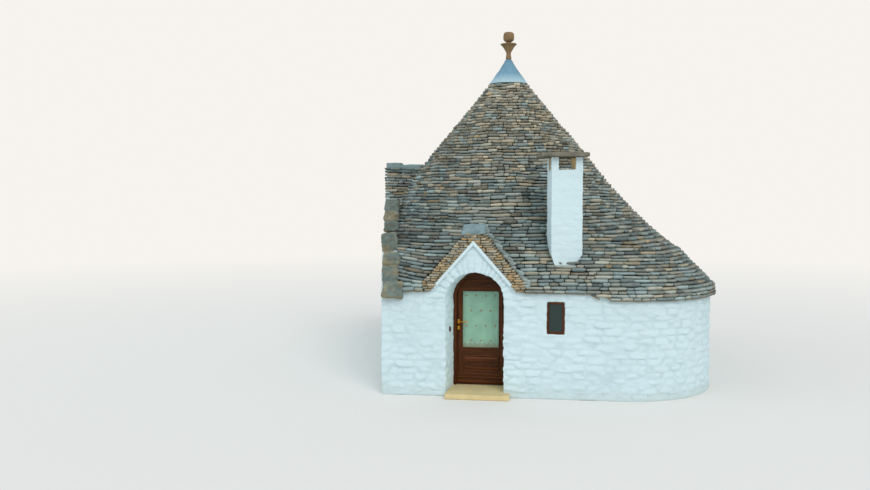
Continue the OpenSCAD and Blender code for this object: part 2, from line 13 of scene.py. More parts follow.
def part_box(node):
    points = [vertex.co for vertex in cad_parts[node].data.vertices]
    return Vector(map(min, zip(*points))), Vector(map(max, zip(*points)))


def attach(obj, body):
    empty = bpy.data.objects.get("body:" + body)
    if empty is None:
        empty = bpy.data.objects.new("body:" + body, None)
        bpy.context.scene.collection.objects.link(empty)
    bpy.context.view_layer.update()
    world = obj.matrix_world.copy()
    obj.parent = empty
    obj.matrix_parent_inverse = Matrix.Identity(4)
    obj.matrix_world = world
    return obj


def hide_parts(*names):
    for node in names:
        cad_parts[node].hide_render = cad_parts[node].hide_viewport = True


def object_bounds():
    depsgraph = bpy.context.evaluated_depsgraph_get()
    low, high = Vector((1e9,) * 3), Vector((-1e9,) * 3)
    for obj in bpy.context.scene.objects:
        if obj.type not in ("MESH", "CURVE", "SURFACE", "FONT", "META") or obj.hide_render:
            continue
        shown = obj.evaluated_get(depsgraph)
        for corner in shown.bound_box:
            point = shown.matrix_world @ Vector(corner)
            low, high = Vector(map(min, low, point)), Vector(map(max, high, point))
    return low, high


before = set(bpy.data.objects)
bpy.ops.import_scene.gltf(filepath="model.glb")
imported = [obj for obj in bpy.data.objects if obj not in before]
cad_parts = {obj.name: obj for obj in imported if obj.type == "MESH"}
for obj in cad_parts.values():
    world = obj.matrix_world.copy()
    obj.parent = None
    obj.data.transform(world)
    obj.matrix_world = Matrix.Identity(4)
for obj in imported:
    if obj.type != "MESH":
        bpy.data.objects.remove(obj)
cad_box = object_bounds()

bl_info = {
    "name": "Trullo House",
    "version": (1, 0, 0),
    "blender": (4, 5, 0),
    "location": "3D View > Sidebar > Trullo",
    "description": "Builds the looks of a whitewashed trullo with its dry stone roof",
    "category": "Add Mesh",
}


def colour(name, note, r, g, b):
    """A colour as it is seen on a screen, 0 to 255, kept as the light values that a shader takes."""
    seen = [c / 255 for c in (r, g, b)]
    light = [((s + 0.055) / 1.055) ** 2.4 if s > 0.04045 else s / 12.92 for s in seen]
    return FloatVectorProperty(
        name=name, description=note, subtype="COLOR", size=3, min=0, max=1, default=light
    )


def length(name, note, value, most=1.0):
    return FloatProperty(
        name=name, description=note, default=value, min=0.001, max=most, unit="LENGTH"
    )


class TrulloSizes(bpy.types.PropertyGroup):
    course_low: length("Low course", "Height of one course of slabs near the eave", 0.058, 0.2)
    course_high: length("High course", "Height of one course of slabs near the cap", 0.064, 0.2)
    slab_long: length("Long slab", "Usual length of the slabs at the eave", 0.235)
    slab_short: length("Short slab", "Usual length of the slabs under the cap", 0.138)
    slab_deep: length("Slab depth", "How far a slab runs into the roof", 0.20)
    bedding: length("Bedding", "Depth of the dark core behind the slab fronts", 0.11)
    gable_bedding: length("Gable bedding", "Depth of the core under the gable's slabs", 0.065)
    gable_course: length("Gable course", "Height of one course of the gable's slabs", 0.043, 0.2)
    verge_wide: length("Verge width", "Width of the left edge that its blocks take up", 0.24)
    rubble_long: length("Rubble length", "Usual length of a stone in the walls", 0.30)
    rubble_high: length("Rubble height", "Usual height of a stone in the walls", 0.125)
    rubble: length("Rubble relief", "Depth of the joints between the wall's stones", 0.025)
    wall_grain: length("Wall grain", "Size of one facet of the masonry", 0.022, 0.1)
    groove: length("Arch groove", "Depth of the grooves between the arch stones", 0.018, 0.1)
    board_edge: length("Board edge", "Rounding of the door's boards and of the frames", 0.004, 0.1)
    lace_fold: length("Curtain fold", "Distance between two folds of the curtain", 0.12)
    sprig_across: length("Sprig spacing", "Distance between two sprigs in a row of the lace", 0.18)
    sprig_apart: length("Row spacing", "Distance between two rows of sprigs", 0.28)


class TrulloColours(bpy.types.PropertyGroup):
    whitewash: colour("Whitewash", "Limewash on the walls", 207, 227, 232)
    whitewash_low: colour("Whitewash foot", "Limewash near the ground", 190, 200, 196)
    # painted light: a paler limewash that brightens the shaded reveals of the doorway
    reveal: colour("Reveal", "Fresh limewash beside the door", 228, 250, 255)
    joint: colour("Wall joint", "Grey in the joints between the wall's stones", 134, 160, 168)
    stain: colour("Stain", "Weather stains on the limewash", 186, 190, 178)
    slab_cool: colour("Cool slab", "Blue grey roof slabs", 133, 149, 148)
    slab_warm: colour("Warm slab", "Beige roof slabs", 166, 157, 136)
    slab_tan: colour("Tan slab", "Slabs over the gable", 176, 150, 108)
    lichen: colour("Lichen", "Pale spots on the slabs", 176, 174, 158)
    soot: colour("Soot", "Dark spots on the slabs", 52, 50, 46)
    # the colour that the slabs' faces which point up are blended towards
    tread: colour("Tread", "Dirt on the slabs' upper faces", 66, 66, 60)
    # partly the bedding's own colour, partly painted shade in the gaps between the slabs
    bed: colour("Bedding", "Dark bedding between the slabs", 58, 58, 53)
    capstone: colour("Capstone", "Blue grey flat stone on the gable", 134, 158, 162)
    ridge: colour("Ridge stone", "Grey stones on the saddle's ridge", 132, 152, 152)
    verge: colour("Verge stone", "Blocks of the left edge", 112, 124, 118)
    verge_pale: colour("Pale verge stone", "Paler patches on the blocks", 150, 142, 116)
    verge_under: colour("Verge underside", "Ochre under the blocks", 146, 116, 72)
    verge_spots: colour("Verge spots", "Lichen on the blocks", 176, 184, 176)
    cap: colour("Cap plaster", "Plaster cone on the roof's top", 116, 156, 176)
    cap_foot: colour("Cap foot", "Paler plaster at the cone's foot", 168, 196, 206)
    pinnacle: colour("Pinnacle stone", "Carved brown stone", 140, 115, 82)
    smoke: colour("Smoke ochre", "Plaster inside the smoke openings", 232, 208, 158)
    chimney_top: colour("Chimney slab", "Rough slab on the chimney", 122, 118, 104)
    step: colour("Step stone", "Pale beige step", 222, 202, 152)
    flags: colour("Flagstone", "Floor of the room", 178, 168, 142)
    flag_joint: colour("Flag joint", "Joints of the floor", 112, 104, 88)
    wood: colour("Door wood", "Dark brown varnished wood", 98, 53, 21)
    wood_dark: colour("Wood grain", "Darker grain of the wood", 52, 26, 10)
    wood_worn: colour("Worn wood", "Patches where the varnish is thin", 112, 62, 30)
    # painted highlight: the wood's upward faces lighten, standing in for the sky's reflection
    wood_painted_sheen: colour("Wood's upper faces", "Dust on ledges of the wood", 152, 98, 72)
    brass: colour("Brass", "Lever, plate and hinges", 226, 160, 52)
    door_pane: colour("Door glass", "Green tint of the door's glass", 150, 196, 176)
    # painted shade: the pane takes the darkness of the room behind it
    window_pane: colour("Window glass", "Dark glass of the window", 42, 58, 55)
    lace: colour("Lace", "Pale green lace curtain", 188, 232, 204)
    sprig: colour("Sprig", "Tan sprigs and border of the lace", 186, 138, 92)
    bell: colour("Doorbell", "Brown box of the doorbell", 88, 60, 40)
    floor: colour("Stage", "Studio floor", 236, 234, 230)
    backdrop: colour("Backdrop", "Pale background behind the house", 246, 243, 238)


# Making pieces


def clear():
    """Object mode with nothing selected."""
    if bpy.context.mode != "OBJECT":
        bpy.ops.object.mode_set(mode="OBJECT")
    bpy.ops.object.select_all(action="DESELECT")


def only(ob):
    clear()
    ob.select_set(True)
    bpy.context.view_layer.objects.active = ob
    return ob


def edit(ob):
    only(ob)
    bpy.ops.object.mode_set(mode="EDIT")
    bpy.ops.mesh.select_all(action="SELECT")


def done():
    bpy.ops.object.mode_set(mode="OBJECT")
    return bpy.context.object


def pick(test, kind="faces"):
    """Selects in edit mode the faces, edges or vertices that pass the test."""
    bpy.ops.mesh.select_mode(type={"faces": "FACE", "edges": "EDGE", "verts": "VERT"}[kind])
    mesh = bpy.context.object.data
    bm = bmesh.from_edit_mesh(mesh)
    for parts in (bm.verts, bm.edges, bm.faces):
        for part in parts:
            part.select = False
    for part in getattr(bm, kind):
        if test(part):
            part.select_set(True)
    bm.select_flush_mode()
    bmesh.update_edit_mesh(mesh)


def add(name, data=None):
    """A new object in the scene."""
    ob = bpy.data.objects.new(name, data)
    bpy.context.scene.collection.objects.link(ob)
    return ob


def add_mesh(name, co, edges=(), faces=()):
    mesh = bpy.data.meshes.new(name)
    mesh.from_pydata(co, edges, faces)
    return add(name, mesh)


def block(name, low, high):
    """A box from its lowest to its highest corner, left in edit mode and selected."""
    clear()
    bpy.ops.mesh.primitive_cube_add(size=1)
    ob = bpy.context.object
    ob.name = name
    ob.data.name = name
    bpy.ops.object.mode_set(mode="EDIT")
    bpy.ops.mesh.select_all(action="SELECT")
    bpy.ops.transform.resize(value=[b - a for a, b in zip(low, high)])
    bpy.ops.transform.translate(value=[(a + b) / 2 for a, b in zip(low, high)])
    return ob


def rod(name, a, b, radius, sides=16):
    """A cylinder between two points, left in object mode."""
    clear()
    a, b = Vector(a), Vector(b)
    bpy.ops.mesh.primitive_cylinder_add(vertices=sides, radius=radius, depth=(b - a).length)
    ob = bpy.context.object
    ob.name = name
    turn = Vector((0, 0, 1)).rotation_difference(b - a).to_matrix().to_4x4()
    turn.translation = (a + b) / 2
    ob.data.transform(turn)
    return ob


def joined(name, *obs):
    clear()
    for ob in obs:
        ob.select_set(True)
    bpy.context.view_layer.objects.active = obs[0]
    if len(obs) > 1:
        bpy.ops.object.join()
    ob = bpy.context.object
    ob.name = name
    ob.data.name = name
    return ob


def modify(ob, kind, **settings):
    """Adds a modifier with its settings and applies it."""
    only(ob)
    m = ob.modifiers.new(kind.lower(), kind)
    for key, value in settings.items():
        setattr(m, key, value)
    bpy.ops.object.modifier_apply(modifier=m.name)
    return ob


def round_edges(ob, width, segments=2, angle=30):
    """Bevels the edges that are sharper than an angle."""
    limit = math.radians(angle)
    return modify(
        ob, "BEVEL", width=width, segments=segments, limit_method="ANGLE", angle_limit=limit
    )


def copy_nodes(name, *nodes):
    """One new object with the meshes of CAD nodes, their doubles merged."""
    ob = joined(name, *[add(name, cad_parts[n].data.copy()) for n in nodes])
    ob.data.materials.clear()
    edit(ob)
    bpy.ops.mesh.customdata_custom_splitnormals_clear()
    bpy.ops.mesh.remove_doubles(threshold=0.00002)
    done()
    return ob


def points(ob):
    co = np.empty(len(ob.data.vertices) * 3)
    ob.data.vertices.foreach_get("co", co)
    return co.reshape(-1, 3)


def set_points(ob, co):
    ob.data.vertices.foreach_set("co", np.ascontiguousarray(co, dtype=float).ravel())
    ob.data.update()


def swell(ob, out):
    """Moves each point along its normal by its own distance."""
    ways = np.empty(len(ob.data.vertices) * 3)
    ob.data.vertices.foreach_get("normal", ways)
    set_points(ob, points(ob) + ways.reshape(-1, 3) * out[:, None])


def mark(mesh, **values):
    """Keeps a value for each point of a mesh under a name that a finish reads."""
    for name, value in values.items():
        data = mesh.attributes.new(name, "FLOAT", "POINT").data
        data.foreach_set("value", np.ascontiguousarray(value))


def remesh(ob, size):
    only(ob)
    ob.data.remesh_voxel_size = size
    ob.data.remesh_voxel_adaptivity = 0
    bpy.ops.object.voxel_remesh()
    return ob


def relief(ob, strength, scale, middle=0.5, group=""):
    """Swells a mesh with a cloud texture whose grain has its own length along each axis."""
    texture = bpy.data.textures.new("relief", "CLOUDS")
    texture.noise_scale = 1.0
    grain = add("grain")
    grain.scale = scale
    bpy.context.view_layer.update()
    modify(
        ob,
        "DISPLACE",
        texture=texture,
        texture_coords="OBJECT",
        texture_coords_object=grain,
        strength=strength,
        mid_level=middle,
        vertex_group=group,
    )
    bpy.data.objects.remove(grain)
    return ob


def thin(ob, most):
    """Brings a mesh under a number of triangles."""
    faces = sum(len(p.vertices) - 2 for p in ob.data.polygons)
    if faces > most:
        modify(ob, "DECIMATE", ratio=most / faces)
    return ob


def smooth(ob, angle=35):
    only(ob)
    bpy.ops.object.shade_smooth_by_angle(angle=math.radians(angle))
    return ob


def keep_inside(ob, low=cad_box[0], high=cad_box[1]):
    """Holds a mesh between a lowest and a highest corner."""
    set_points(ob, np.clip(points(ob), np.array(low), np.array(high)))
    return ob


def weather(ob, size, lumps, scale, edge=0.0, most=60000):
    """Turns a sharp block into a worn stone."""
    if edge:
        round_edges(ob, edge)
    remesh(ob, size)
    relief(ob, lumps, scale)
    modify(ob, "SMOOTH", factor=0.5, iterations=2)
    thin(ob, most)
    smooth(ob, 50)
    return ob


def finished(ob, coat, slot, *nodes, body="root"):
    """Gives a piece its finish and the body that it rides on, and hides the nodes that it stands for."""
    if coat is not None:
        ob.data.materials.clear()
        ob.data.materials.append(coat)
    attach(ob, body)
    if nodes:
        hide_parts(*nodes)
    return ob


# Finishes


class Shade:
    """A socket whose arithmetic adds Math nodes."""

    def __init__(self, coat, socket):
        self.coat = coat
        self.socket = socket

    def __add__(self, other):
        return self.coat.maths("ADD", self, other)

    __radd__ = __add__

    def __sub__(self, other):
        return self.coat.maths("SUBTRACT", self, other)

    def __rsub__(self, other):
        return self.coat.maths("SUBTRACT", other, self)

    def __mul__(self, other):
        return self.coat.maths("MULTIPLY", self, other)

    __rmul__ = __mul__

    def __truediv__(self, other):
        return self.coat.maths("DIVIDE", self, other)

    def __pow__(self, other):
        return self.coat.maths("POWER", self, other)


class Coat:
    """A finish in the making, or the light of a world."""

    SOCKETS = {
        "base": "Base Color",
        "rough": "Roughness",
        "metal": "Metallic",
        "normal": "Normal",
        "alpha": "Alpha",
        "coat": "Coat Weight",
        "coat_rough": "Coat Roughness",
        "sheen": "Sheen Weight",
        "gloss": "Specular IOR Level",
    }

    def __init__(self, name, world=False):
        self.material = (bpy.data.worlds if world else bpy.data.materials).new(name)
        self.material.use_nodes = True
        self.tree = self.material.node_tree
        self.tree.nodes.clear()

    def node(self, kind, settings=None, values=None, out=0):
        """Adds a node by its type, its settings and its sockets' values or links; gives one output."""
        made = self.tree.nodes.new(kind)
        for key, value in (settings or {}).items():
            if key == "stops":
                stops = made.color_ramp.elements
                while len(stops) < len(value):
                    stops.new(0.5)
                for stop, (place, level) in zip(stops, value):
                    stop.position = place
                    stop.color = (level, level, level, 1)
            else:
                setattr(made, key, value)
        for key, value in (values or {}).items():
            if isinstance(value, Shade):
                self.tree.links.new(value.socket, made.inputs[key])
            elif made.inputs[key].type == "RGBA":
                made.inputs[key].default_value = (*value, 1)
            else:
                made.inputs[key].default_value = value
        return Shade(self, made.outputs[out]) if len(made.outputs) else None

    def maths(self, kind, a, b=0.0):
        return self.node("ShaderNodeMath", {"operation": kind}, {0: a, 1: b})

    def place(self, *stretch):
        """Object coordinates, divided by a length along each axis."""
        spot = self.node("ShaderNodeTexCoord", out="Object")
        if not stretch:
            return spot
        scale = tuple(1 / s for s in stretch)
        return self.node("ShaderNodeMapping", {}, {"Vector": spot, "Scale": scale})

    def axes(self, vector):
        parts = self.tree.nodes.new("ShaderNodeSeparateXYZ")
        self.tree.links.new(vector.socket, parts.inputs[0])
        return [Shade(self, s) for s in parts.outputs]

    def height(self):
        return self.axes(self.place())[2]

    def upward(self):
        """How far a surface faces up."""
        return self.axes(self.node("ShaderNodeNewGeometry", out="Normal"))[2]

    def noise(self, scale, detail=3.0, rough=0.55, where=None):
        values = {"Scale": scale, "Detail": detail, "Roughness": rough}
        values["Vector"] = where or self.place()
        return self.node("ShaderNodeTexNoise", {}, values)

    def cells(self, scale, where=None):
        values = {"Vector": where or self.place(), "Scale": scale}
        return self.node("ShaderNodeTexVoronoi", {"feature": "F1"}, values)

    def steps(self, value, *stops):
        """A value sent through a ramp of (place, level) stops."""
        return self.node("ShaderNodeValToRGB", {"stops": stops}, {"Fac": value})

    def blend(self, factor, a, b, way="MIX"):
        settings = {"data_type": "RGBA", "blend_type": way, "clamp_factor": True}
        return self.node("ShaderNodeMix", settings, {0: factor, 6: a, 7: b}, out=2)

    def tint(self, base, level):
        """A colour times a varying level."""
        grey = self.node("ShaderNodeCombineColor", {}, {0: level, 1: level, 2: level})
        return self.blend(1.0, base, grey, "MULTIPLY")

    def bump(self, height, distance):
        values = {"Height": height, "Distance": distance, "Strength": 1.0}
        return self.node("ShaderNodeBump", {}, values)

    def attribute(self, name):
        return self.node("ShaderNodeAttribute", {"attribute_name": name}, out="Fac")

    def surface(self, **values):
        """The main shader; short names stand for its sockets."""
        sockets = {self.SOCKETS[key]: value for key, value in values.items()}
        shader = self.node("ShaderNodeBsdfPrincipled", {}, sockets)
        self.node("ShaderNodeOutputMaterial", {}, {"Surface": shader})
        return self.material


def stone_coat(name, base, dark=0.72, light=1.12, grain=0.006, coarse=4.0, spots=0.25):
    """Weathered limestone: clouded tone, pits and pale spots of lichen."""
    c = Coat(name)
    cloud = c.noise(coarse, 4.0, 0.6)
    fine = c.noise(coarse * 9, 3.0, 0.6)
    pits = c.cells(coarse * 14)
    level = c.steps(cloud * 0.7 + fine * 0.3, (0.3, dark), (0.7, light))
    lichen = c.steps(c.noise(coarse * 3.1, 5.0, 0.7), (0.58, 0.0), (0.68, 1.0)) * spots
    pale = tuple(min(1, b * 1.5 + 0.04) for b in base)
    base = c.blend(lichen, c.tint(base, level), pale)
    normal = c.bump(fine * 0.7 + pits * 0.25 + cloud * 0.8, grain)
    return c.surface(base=base, rough=0.9, normal=normal, gloss=0.25)


def whitewash_coat(name, hues, relief_depth=0.008, foot=True):
    """Lime wash brushed over rubble: soft lumps, brush strokes, a faint grey in the joints."""
    c = Coat(name)
    lump = c.noise(1.0, 3.0, 0.5, c.place(0.11, 0.11, 0.07))
    fine = c.noise(38.0, 4.0, 0.65)
    brush = c.noise(1.0, 2.0, 0.5, c.place(0.012, 0.012, 0.05))
    patch = c.noise(0.9, 4.0, 0.6)
    level = c.steps(lump * 0.35 + patch * 0.65, (0.34, 0.95), (0.62, 1.02))
    base = c.tint(hues.whitewash, level)
    # painted light: the doorway's reveals are lightened towards the reveal colour
    base = c.blend(c.attribute("reveal") * 0.85, base, hues.reveal)
    worn = c.steps(c.noise(2.3, 3.0, 0.6), (0.42, 0.12), (0.62, 0.5))
    base = c.blend(c.attribute("joint") * worn, base, hues.joint)
    if foot:
        damp = c.steps(c.height() + c.noise(5.0, 4.0) * 0.25, (0.10, 1.0), (0.34, 0.0))
        base = c.blend(damp * 0.55, base, hues.whitewash_low)
    stain = c.steps(c.noise(2.6, 5.0, 0.7), (0.60, 0.0), (0.80, 0.22))
    base = c.blend(stain, base, hues.stain)
    normal = c.bump(lump * 0.9 + fine * 0.28 + brush * 0.14, relief_depth)
    return c.surface(base=base, rough=0.85, normal=normal, gloss=0.25)


def slab_coat(name, hues):
    """Roof slabs: each slab has its own tone and warmth, kept on its points."""
    c = Coat(name)
    cloud = c.noise(7.0, 4.0, 0.6)
    fine = c.noise(55.0, 3.0, 0.6)
    base = c.blend(c.attribute("warm"), hues.slab_cool, hues.slab_warm)
    base = c.blend(c.attribute("tan"), base, hues.slab_tan)
    level = c.attribute("tone") * 0.95 + 0.35 + (cloud - 0.5) * 0.55 + (fine - 0.5) * 0.35
    # painted shade towards each slab's foot and a painted highlight along its top edge
    rise = c.steps(c.attribute("rise"), (0.0, 0.52), (0.5, 1.0), (0.95, 1.20))
    base = c.tint(base, level * rise)
    lichen = c.steps(c.noise(21.0, 5.0, 0.7), (0.60, 0.0), (0.67, 0.45))
    base = c.blend(lichen, base, hues.lichen)
    soot = c.steps(c.noise(12.0, 5.0, 0.7), (0.30, 0.55), (0.42, 0.0))
    base = c.blend(soot, base, hues.soot)
    # faces that point up are made darker
    base = c.blend(c.steps(c.upward(), (0.45, 0.0), (0.85, 0.45)), base, hues.tread)
    normal = c.bump(fine * 0.6 + cloud * 1.2 + c.cells(70.0) * 0.3, 0.006)
    return c.surface(base=base, rough=0.92, normal=normal, gloss=0.2)


def verge_coat(name, hues):
    """Grey blocks with paler patches, ochre on their undersides."""
    c = Coat(name)
    cloud = c.noise(5.0, 5.0, 0.65)
    fine = c.noise(45.0, 3.0, 0.6)
    patch = c.steps(c.noise(2.4, 2.0), (0.44, 0.0), (0.56, 0.8))
    base = c.blend(patch, hues.verge, hues.verge_pale)
    base = c.tint(base, c.steps(cloud * 0.7 + fine * 0.3, (0.32, 0.58), (0.66, 1.25)))
    under = c.steps(c.noise(8.0, 3.0) * 0.5 - c.upward() * 0.5, (0.30, 0.0), (0.62, 0.75))
    base = c.blend(under, base, hues.verge_under)
    spots = c.steps(c.noise(16.0, 5.0, 0.7), (0.6, 0.0), (0.7, 0.5))
    base = c.blend(spots, base, hues.verge_spots)
    normal = c.bump(fine * 0.5 + cloud * 1.2, 0.008)
    return c.surface(base=base, rough=0.92, normal=normal, gloss=0.2)


def cap_coat(name, hues):
    """Blue grey plaster, streaked by rain, a little darker upwards and pale at its foot."""
    c = Coat(name)
    up = c.height() - CAP
    cloud = c.noise(5.0, 5.0, 0.6)
    streak = c.noise(1.0, 4.0, 0.6, c.place(0.05, 0.05, 0.6))
    level = c.steps(cloud * 0.5 + streak * 0.5, (0.32, 0.82), (0.66, 1.08))
    base = c.tint(hues.cap, level * c.steps(up, (0.15, 1.04), (0.50, 0.93)))
    foot = c.steps(up + (cloud - 0.5) * 0.1, (0.04, 1.0), (0.24, 0.0))
    base = c.blend(foot, base, hues.cap_foot)
    normal = c.bump(c.noise(30.0, 4.0) * 0.4 + cloud, 0.008)
    return c.surface(base=base, rough=0.85, normal=normal, gloss=0.25)


def wood_coat(name, hues, along, glossy=0.01):
    """Varnished dark wood with its grain along an axis."""
    c = Coat(name)
    where = c.place(*{"x": (0.9, 0.03, 0.03), "z": (0.03, 0.03, 0.9)}[along])
    grain = c.noise(1.0, 5.0, 0.6, where)
    fibre = c.noise(5.0, 3.0, 0.6, where)
    mask = c.steps(grain * 0.7 + fibre * 0.3, (0.38, 0.0), (0.62, 1.0))
    base = c.blend(mask, hues.wood_dark, hues.wood)
    worn = c.steps(c.noise(3.0, 4.0, 0.6), (0.55, 0.0), (0.8, 0.25))
    base = c.blend(worn, base, hues.wood_worn)
    # painted highlight on faces that point up, standing in for the sky's reflection on the varnish
    base = c.blend(c.steps(c.upward(), (0.10, 0.0), (0.55, 0.55)), base, hues.wood_painted_sheen)
    rough = c.steps(fibre, (0.3, 0.34), (0.7, 0.5))
    normal = c.bump(fibre, 0.0012)
    return c.surface(
        base=base, rough=rough, normal=normal, coat=glossy, coat_rough=0.3, gloss=0.14
    )


def metal_coat(name, base):
    c = Coat(name)
    worn = c.steps(c.noise(60.0, 4.0, 0.7), (0.35, 0.7), (0.65, 1.05))
    rough = c.steps(c.noise(35.0, 3.0), (0.3, 0.22), (0.7, 0.42))
    return c.surface(base=c.tint(base, worn), rough=rough, metal=1.0, normal=c.bump(worn, 0.0003))


def door_glass_coat(name, base):
    """Thin tinted glass; the lace shows through it."""
    c = Coat(name)
    normal = c.bump(c.noise(3.0, 2.0), 0.004)
    return c.surface(base=base, rough=0.06, alpha=0.18, normal=normal, gloss=0.6)


def window_glass_coat(name, base):
    """An opaque pane painted dark: painted shade for the room behind it, which it hides."""
    c = Coat(name)
    return c.surface(base=base, rough=0.12, gloss=0.3, normal=c.bump(c.noise(4.0), 0.003))


def lace_coat(name, hues, across, apart):
    """Net curtain: rows of tan sprigs, and a scalloped border at its foot. UV is in metres."""
    c = Coat(name)
    u, v, _ = c.axes(c.node("ShaderNodeTexCoord", out="UV"))
    row = c.maths("FLOOR", v / apart)
    shift = c.maths("MODULO", row, 2.0) * (across / 2)
    du = c.maths("PINGPONG", u + shift, across / 2)
    dv = c.maths("PINGPONG", v + apart / 2, apart / 2)
    petal = c.noise(42.0, 2.0, 0.5)
    far = (du * du + dv * dv) ** 0.5
    sprig = c.steps(far + petal * 0.028, (0.030, 1.0), (0.040, 0.0))
    scallop = c.maths("SINE", u * (2 * math.pi / 0.09))
    border = c.steps(v + scallop * 0.018 + petal * 0.02, (0.095, 1.0), (0.105, 0.0))
    mask = c.maths("MAXIMUM", sprig, border * 0.6)
    base = c.tint(hues.lace, c.steps(c.noise(6.0, 3.0), (0.3, 0.80), (0.7, 1.10)))
    base = c.blend(mask * 0.95, base, hues.sprig)
    net = c.cells(260.0, c.node("ShaderNodeTexCoord", out="UV"))
    alpha = c.steps(net, (0.25, 1.0), (0.6, 0.86))
    normal = c.bump(net * 0.3 + mask, 0.0008)
    return c.surface(base=base, rough=0.9, alpha=alpha, normal=normal, sheen=0.3)


def floor_coat(name, hues):
    """Flagstones with sunken joints."""
    c = Coat(name)
    bond = {"Vector": c.place(), "Scale": 1.0, "Mortar Size": 0.006}
    bond |= {"Brick Width": 0.55, "Row Height": 0.42}
    joint = c.node("ShaderNodeTexBrick", {"offset": 0.5}, bond, out="Fac")
    cloud = c.noise(3.0, 5.0, 0.6)
    base = c.tint(hues.flags, c.steps(cloud, (0.3, 0.85), (0.7, 1.08)))
    base = c.blend(joint, base, hues.flag_joint)
    return c.surface(base=base, rough=0.6, normal=c.bump(cloud * 0.3 - joint, 0.003))


def bell_coat(name, base):
    c = Coat(name)
    level = c.steps(c.noise(40.0, 3.0), (0.3, 0.85), (0.7, 1.1))
    return c.surface(base=c.tint(base, level), rough=0.45)


# The roof's surface

# a level: its height, its half width, and its corners' radius on the right and the party side
LEVELS = (
    (1.880, 4.050, 1.900, 0.000),
    (1.940, 4.050, 1.900, 0.000),
    (2.550, 3.500, 1.900, 0.900),
    (3.120, 2.905, 2.905, 2.905),
    (3.800, 2.255, 2.255, 2.255),
    (4.560, 1.660, 1.660, 1.660),
    (5.450, 0.905, 0.905, 0.905),
    (6.015, 0.450, 0.450, 0.450),
)
CAP = LEVELS[-1][0]
EAVE = LEVELS[0][0]
WALL = 3.950
SADDLE_TOP = 4.225
SADDLE_FALL = (SADDLE_TOP - LEVELS[1][0]) / LEVELS[1][1]
SADDLE_FROM = -0.830
PARTY_X = -2.7465
PARTY_TURN = math.tan(math.radians(10))
VERGE_BACK = -2.05
VERGE_TOP = 3.45
GABLE_X = -0.392
GABLE_RISE = math.tan(math.radians(48.5))
GABLE_TOP = 3.036
GABLE_HALF = 0.897
RIM_TOP = 2.786
CHIMNEY_TURN = math.radians(9.5)
SMOKE_FOOT = 4.03
ARCH_X, ARCH_Z = -0.371, 1.704
ARCH_STONES = 19
DOOR_FACE = -3.345
DOOR_X = -0.309


def ease(t):
    t = np.clip(t, 0, 1)
    return t * t * (3 - 2 * t)


def level_reach(level, a):
    """Distance of the roof's surface from its axis at one level, for angles in degrees."""
    _, h, right_r, party_r = level
    r = np.where(np.cos(np.radians(a)) < 0, party_r, right_r)
    b = np.abs(a) % 90
    t = np.radians(np.minimum(b, 90 - b))
    c = h - r
    curved = c * (np.cos(t) + np.sin(t)) + np.sqrt(
        np.maximum(r * r - (c * (np.cos(t) - np.sin(t))) ** 2, 0)
    )
    return np.where(h * np.tan(t) <= c, h / np.cos(t), curved)


def reach(z, a):
    """Distance of the roof's surface from its axis, for heights and angles in degrees."""
    z, a = np.broadcast_arrays(np.asarray(z, float), np.asarray(a, float))
    out = np.zeros(z.shape)
    for low, high in zip(LEVELS, LEVELS[1:]):
        share = np.clip((z - low[0]) / (high[0] - low[0]), 0, 1)
        here = level_reach(low, a) * (1 - share) + level_reach(high, a) * share
        out = np.where((z >= low[0]) | (low is LEVELS[0]), here, out)
    return out


def party_line(y):
    return PARTY_X - PARTY_TURN * y


def saddle_height(y):
    return SADDLE_TOP - SADDLE_FALL * np.abs(y)


def slab_end(y, z, verge_wide):
    """Where the slabs stop on the left: beside the verge's blocks, or at the party wall."""
    return party_line(y) + np.where((y < VERGE_BACK) & (z < VERGE_TOP), verge_wide, 0.002)


def settle(x, y, z):
    """How far the courses leave the level: up towards the left edge, and a slow wander."""
    turn = np.arctan2(y, x)
    rise = ease((z - EAVE) / 0.16) * (1 - ease((z - 2.25) / 0.55))
    left = ease((-1.20 - x) / 0.85) * (y < -2) * rise
    wander = 0.008 * np.sin(3.1 * turn + 5 * z) + 0.006 * np.sin(8.3 * turn + 2.1 * z)
    wander = wander + 0.004 * np.sin(23 * turn + 9 * z)
    return 0.12 * left + wander * ease((z - EAVE) / 0.3)


def roof_front(x, z):
    """How far forward the roof's surface reaches at a place across and a height."""
    a = np.arange(-179.0, 0.0, 0.5)
    r = reach(z, a)
    across, ahead = r * np.cos(np.radians(a)), r * np.sin(np.radians(a))
    order = np.argsort(across)
    y = float(np.interp(x, across[order], ahead[order]))
    return min(y, -(SADDLE_TOP - z) / SADDLE_FALL) if x < SADDLE_FROM else y


def from_chimney(x, y):
    """Distances from the chimney's middle, along its broad side and square to it."""
    low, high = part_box("chimney_shaft")
    dx, dy = x - (low.x + high.x) / 2, y - (low.y + high.y) / 2
    cos, sin = math.cos(CHIMNEY_TURN), math.sin(CHIMNEY_TURN)
    return dx * cos + dy * sin, dy * cos - dx * sin


# Odd factors and a span that turn a stone's cell into its own even draws
MIX = (73856093, 19349663, 83492791)
DRAWS = (1103515245, 22695477, 69069, 134775813, 214013, 1664525)
SPAN = 1009


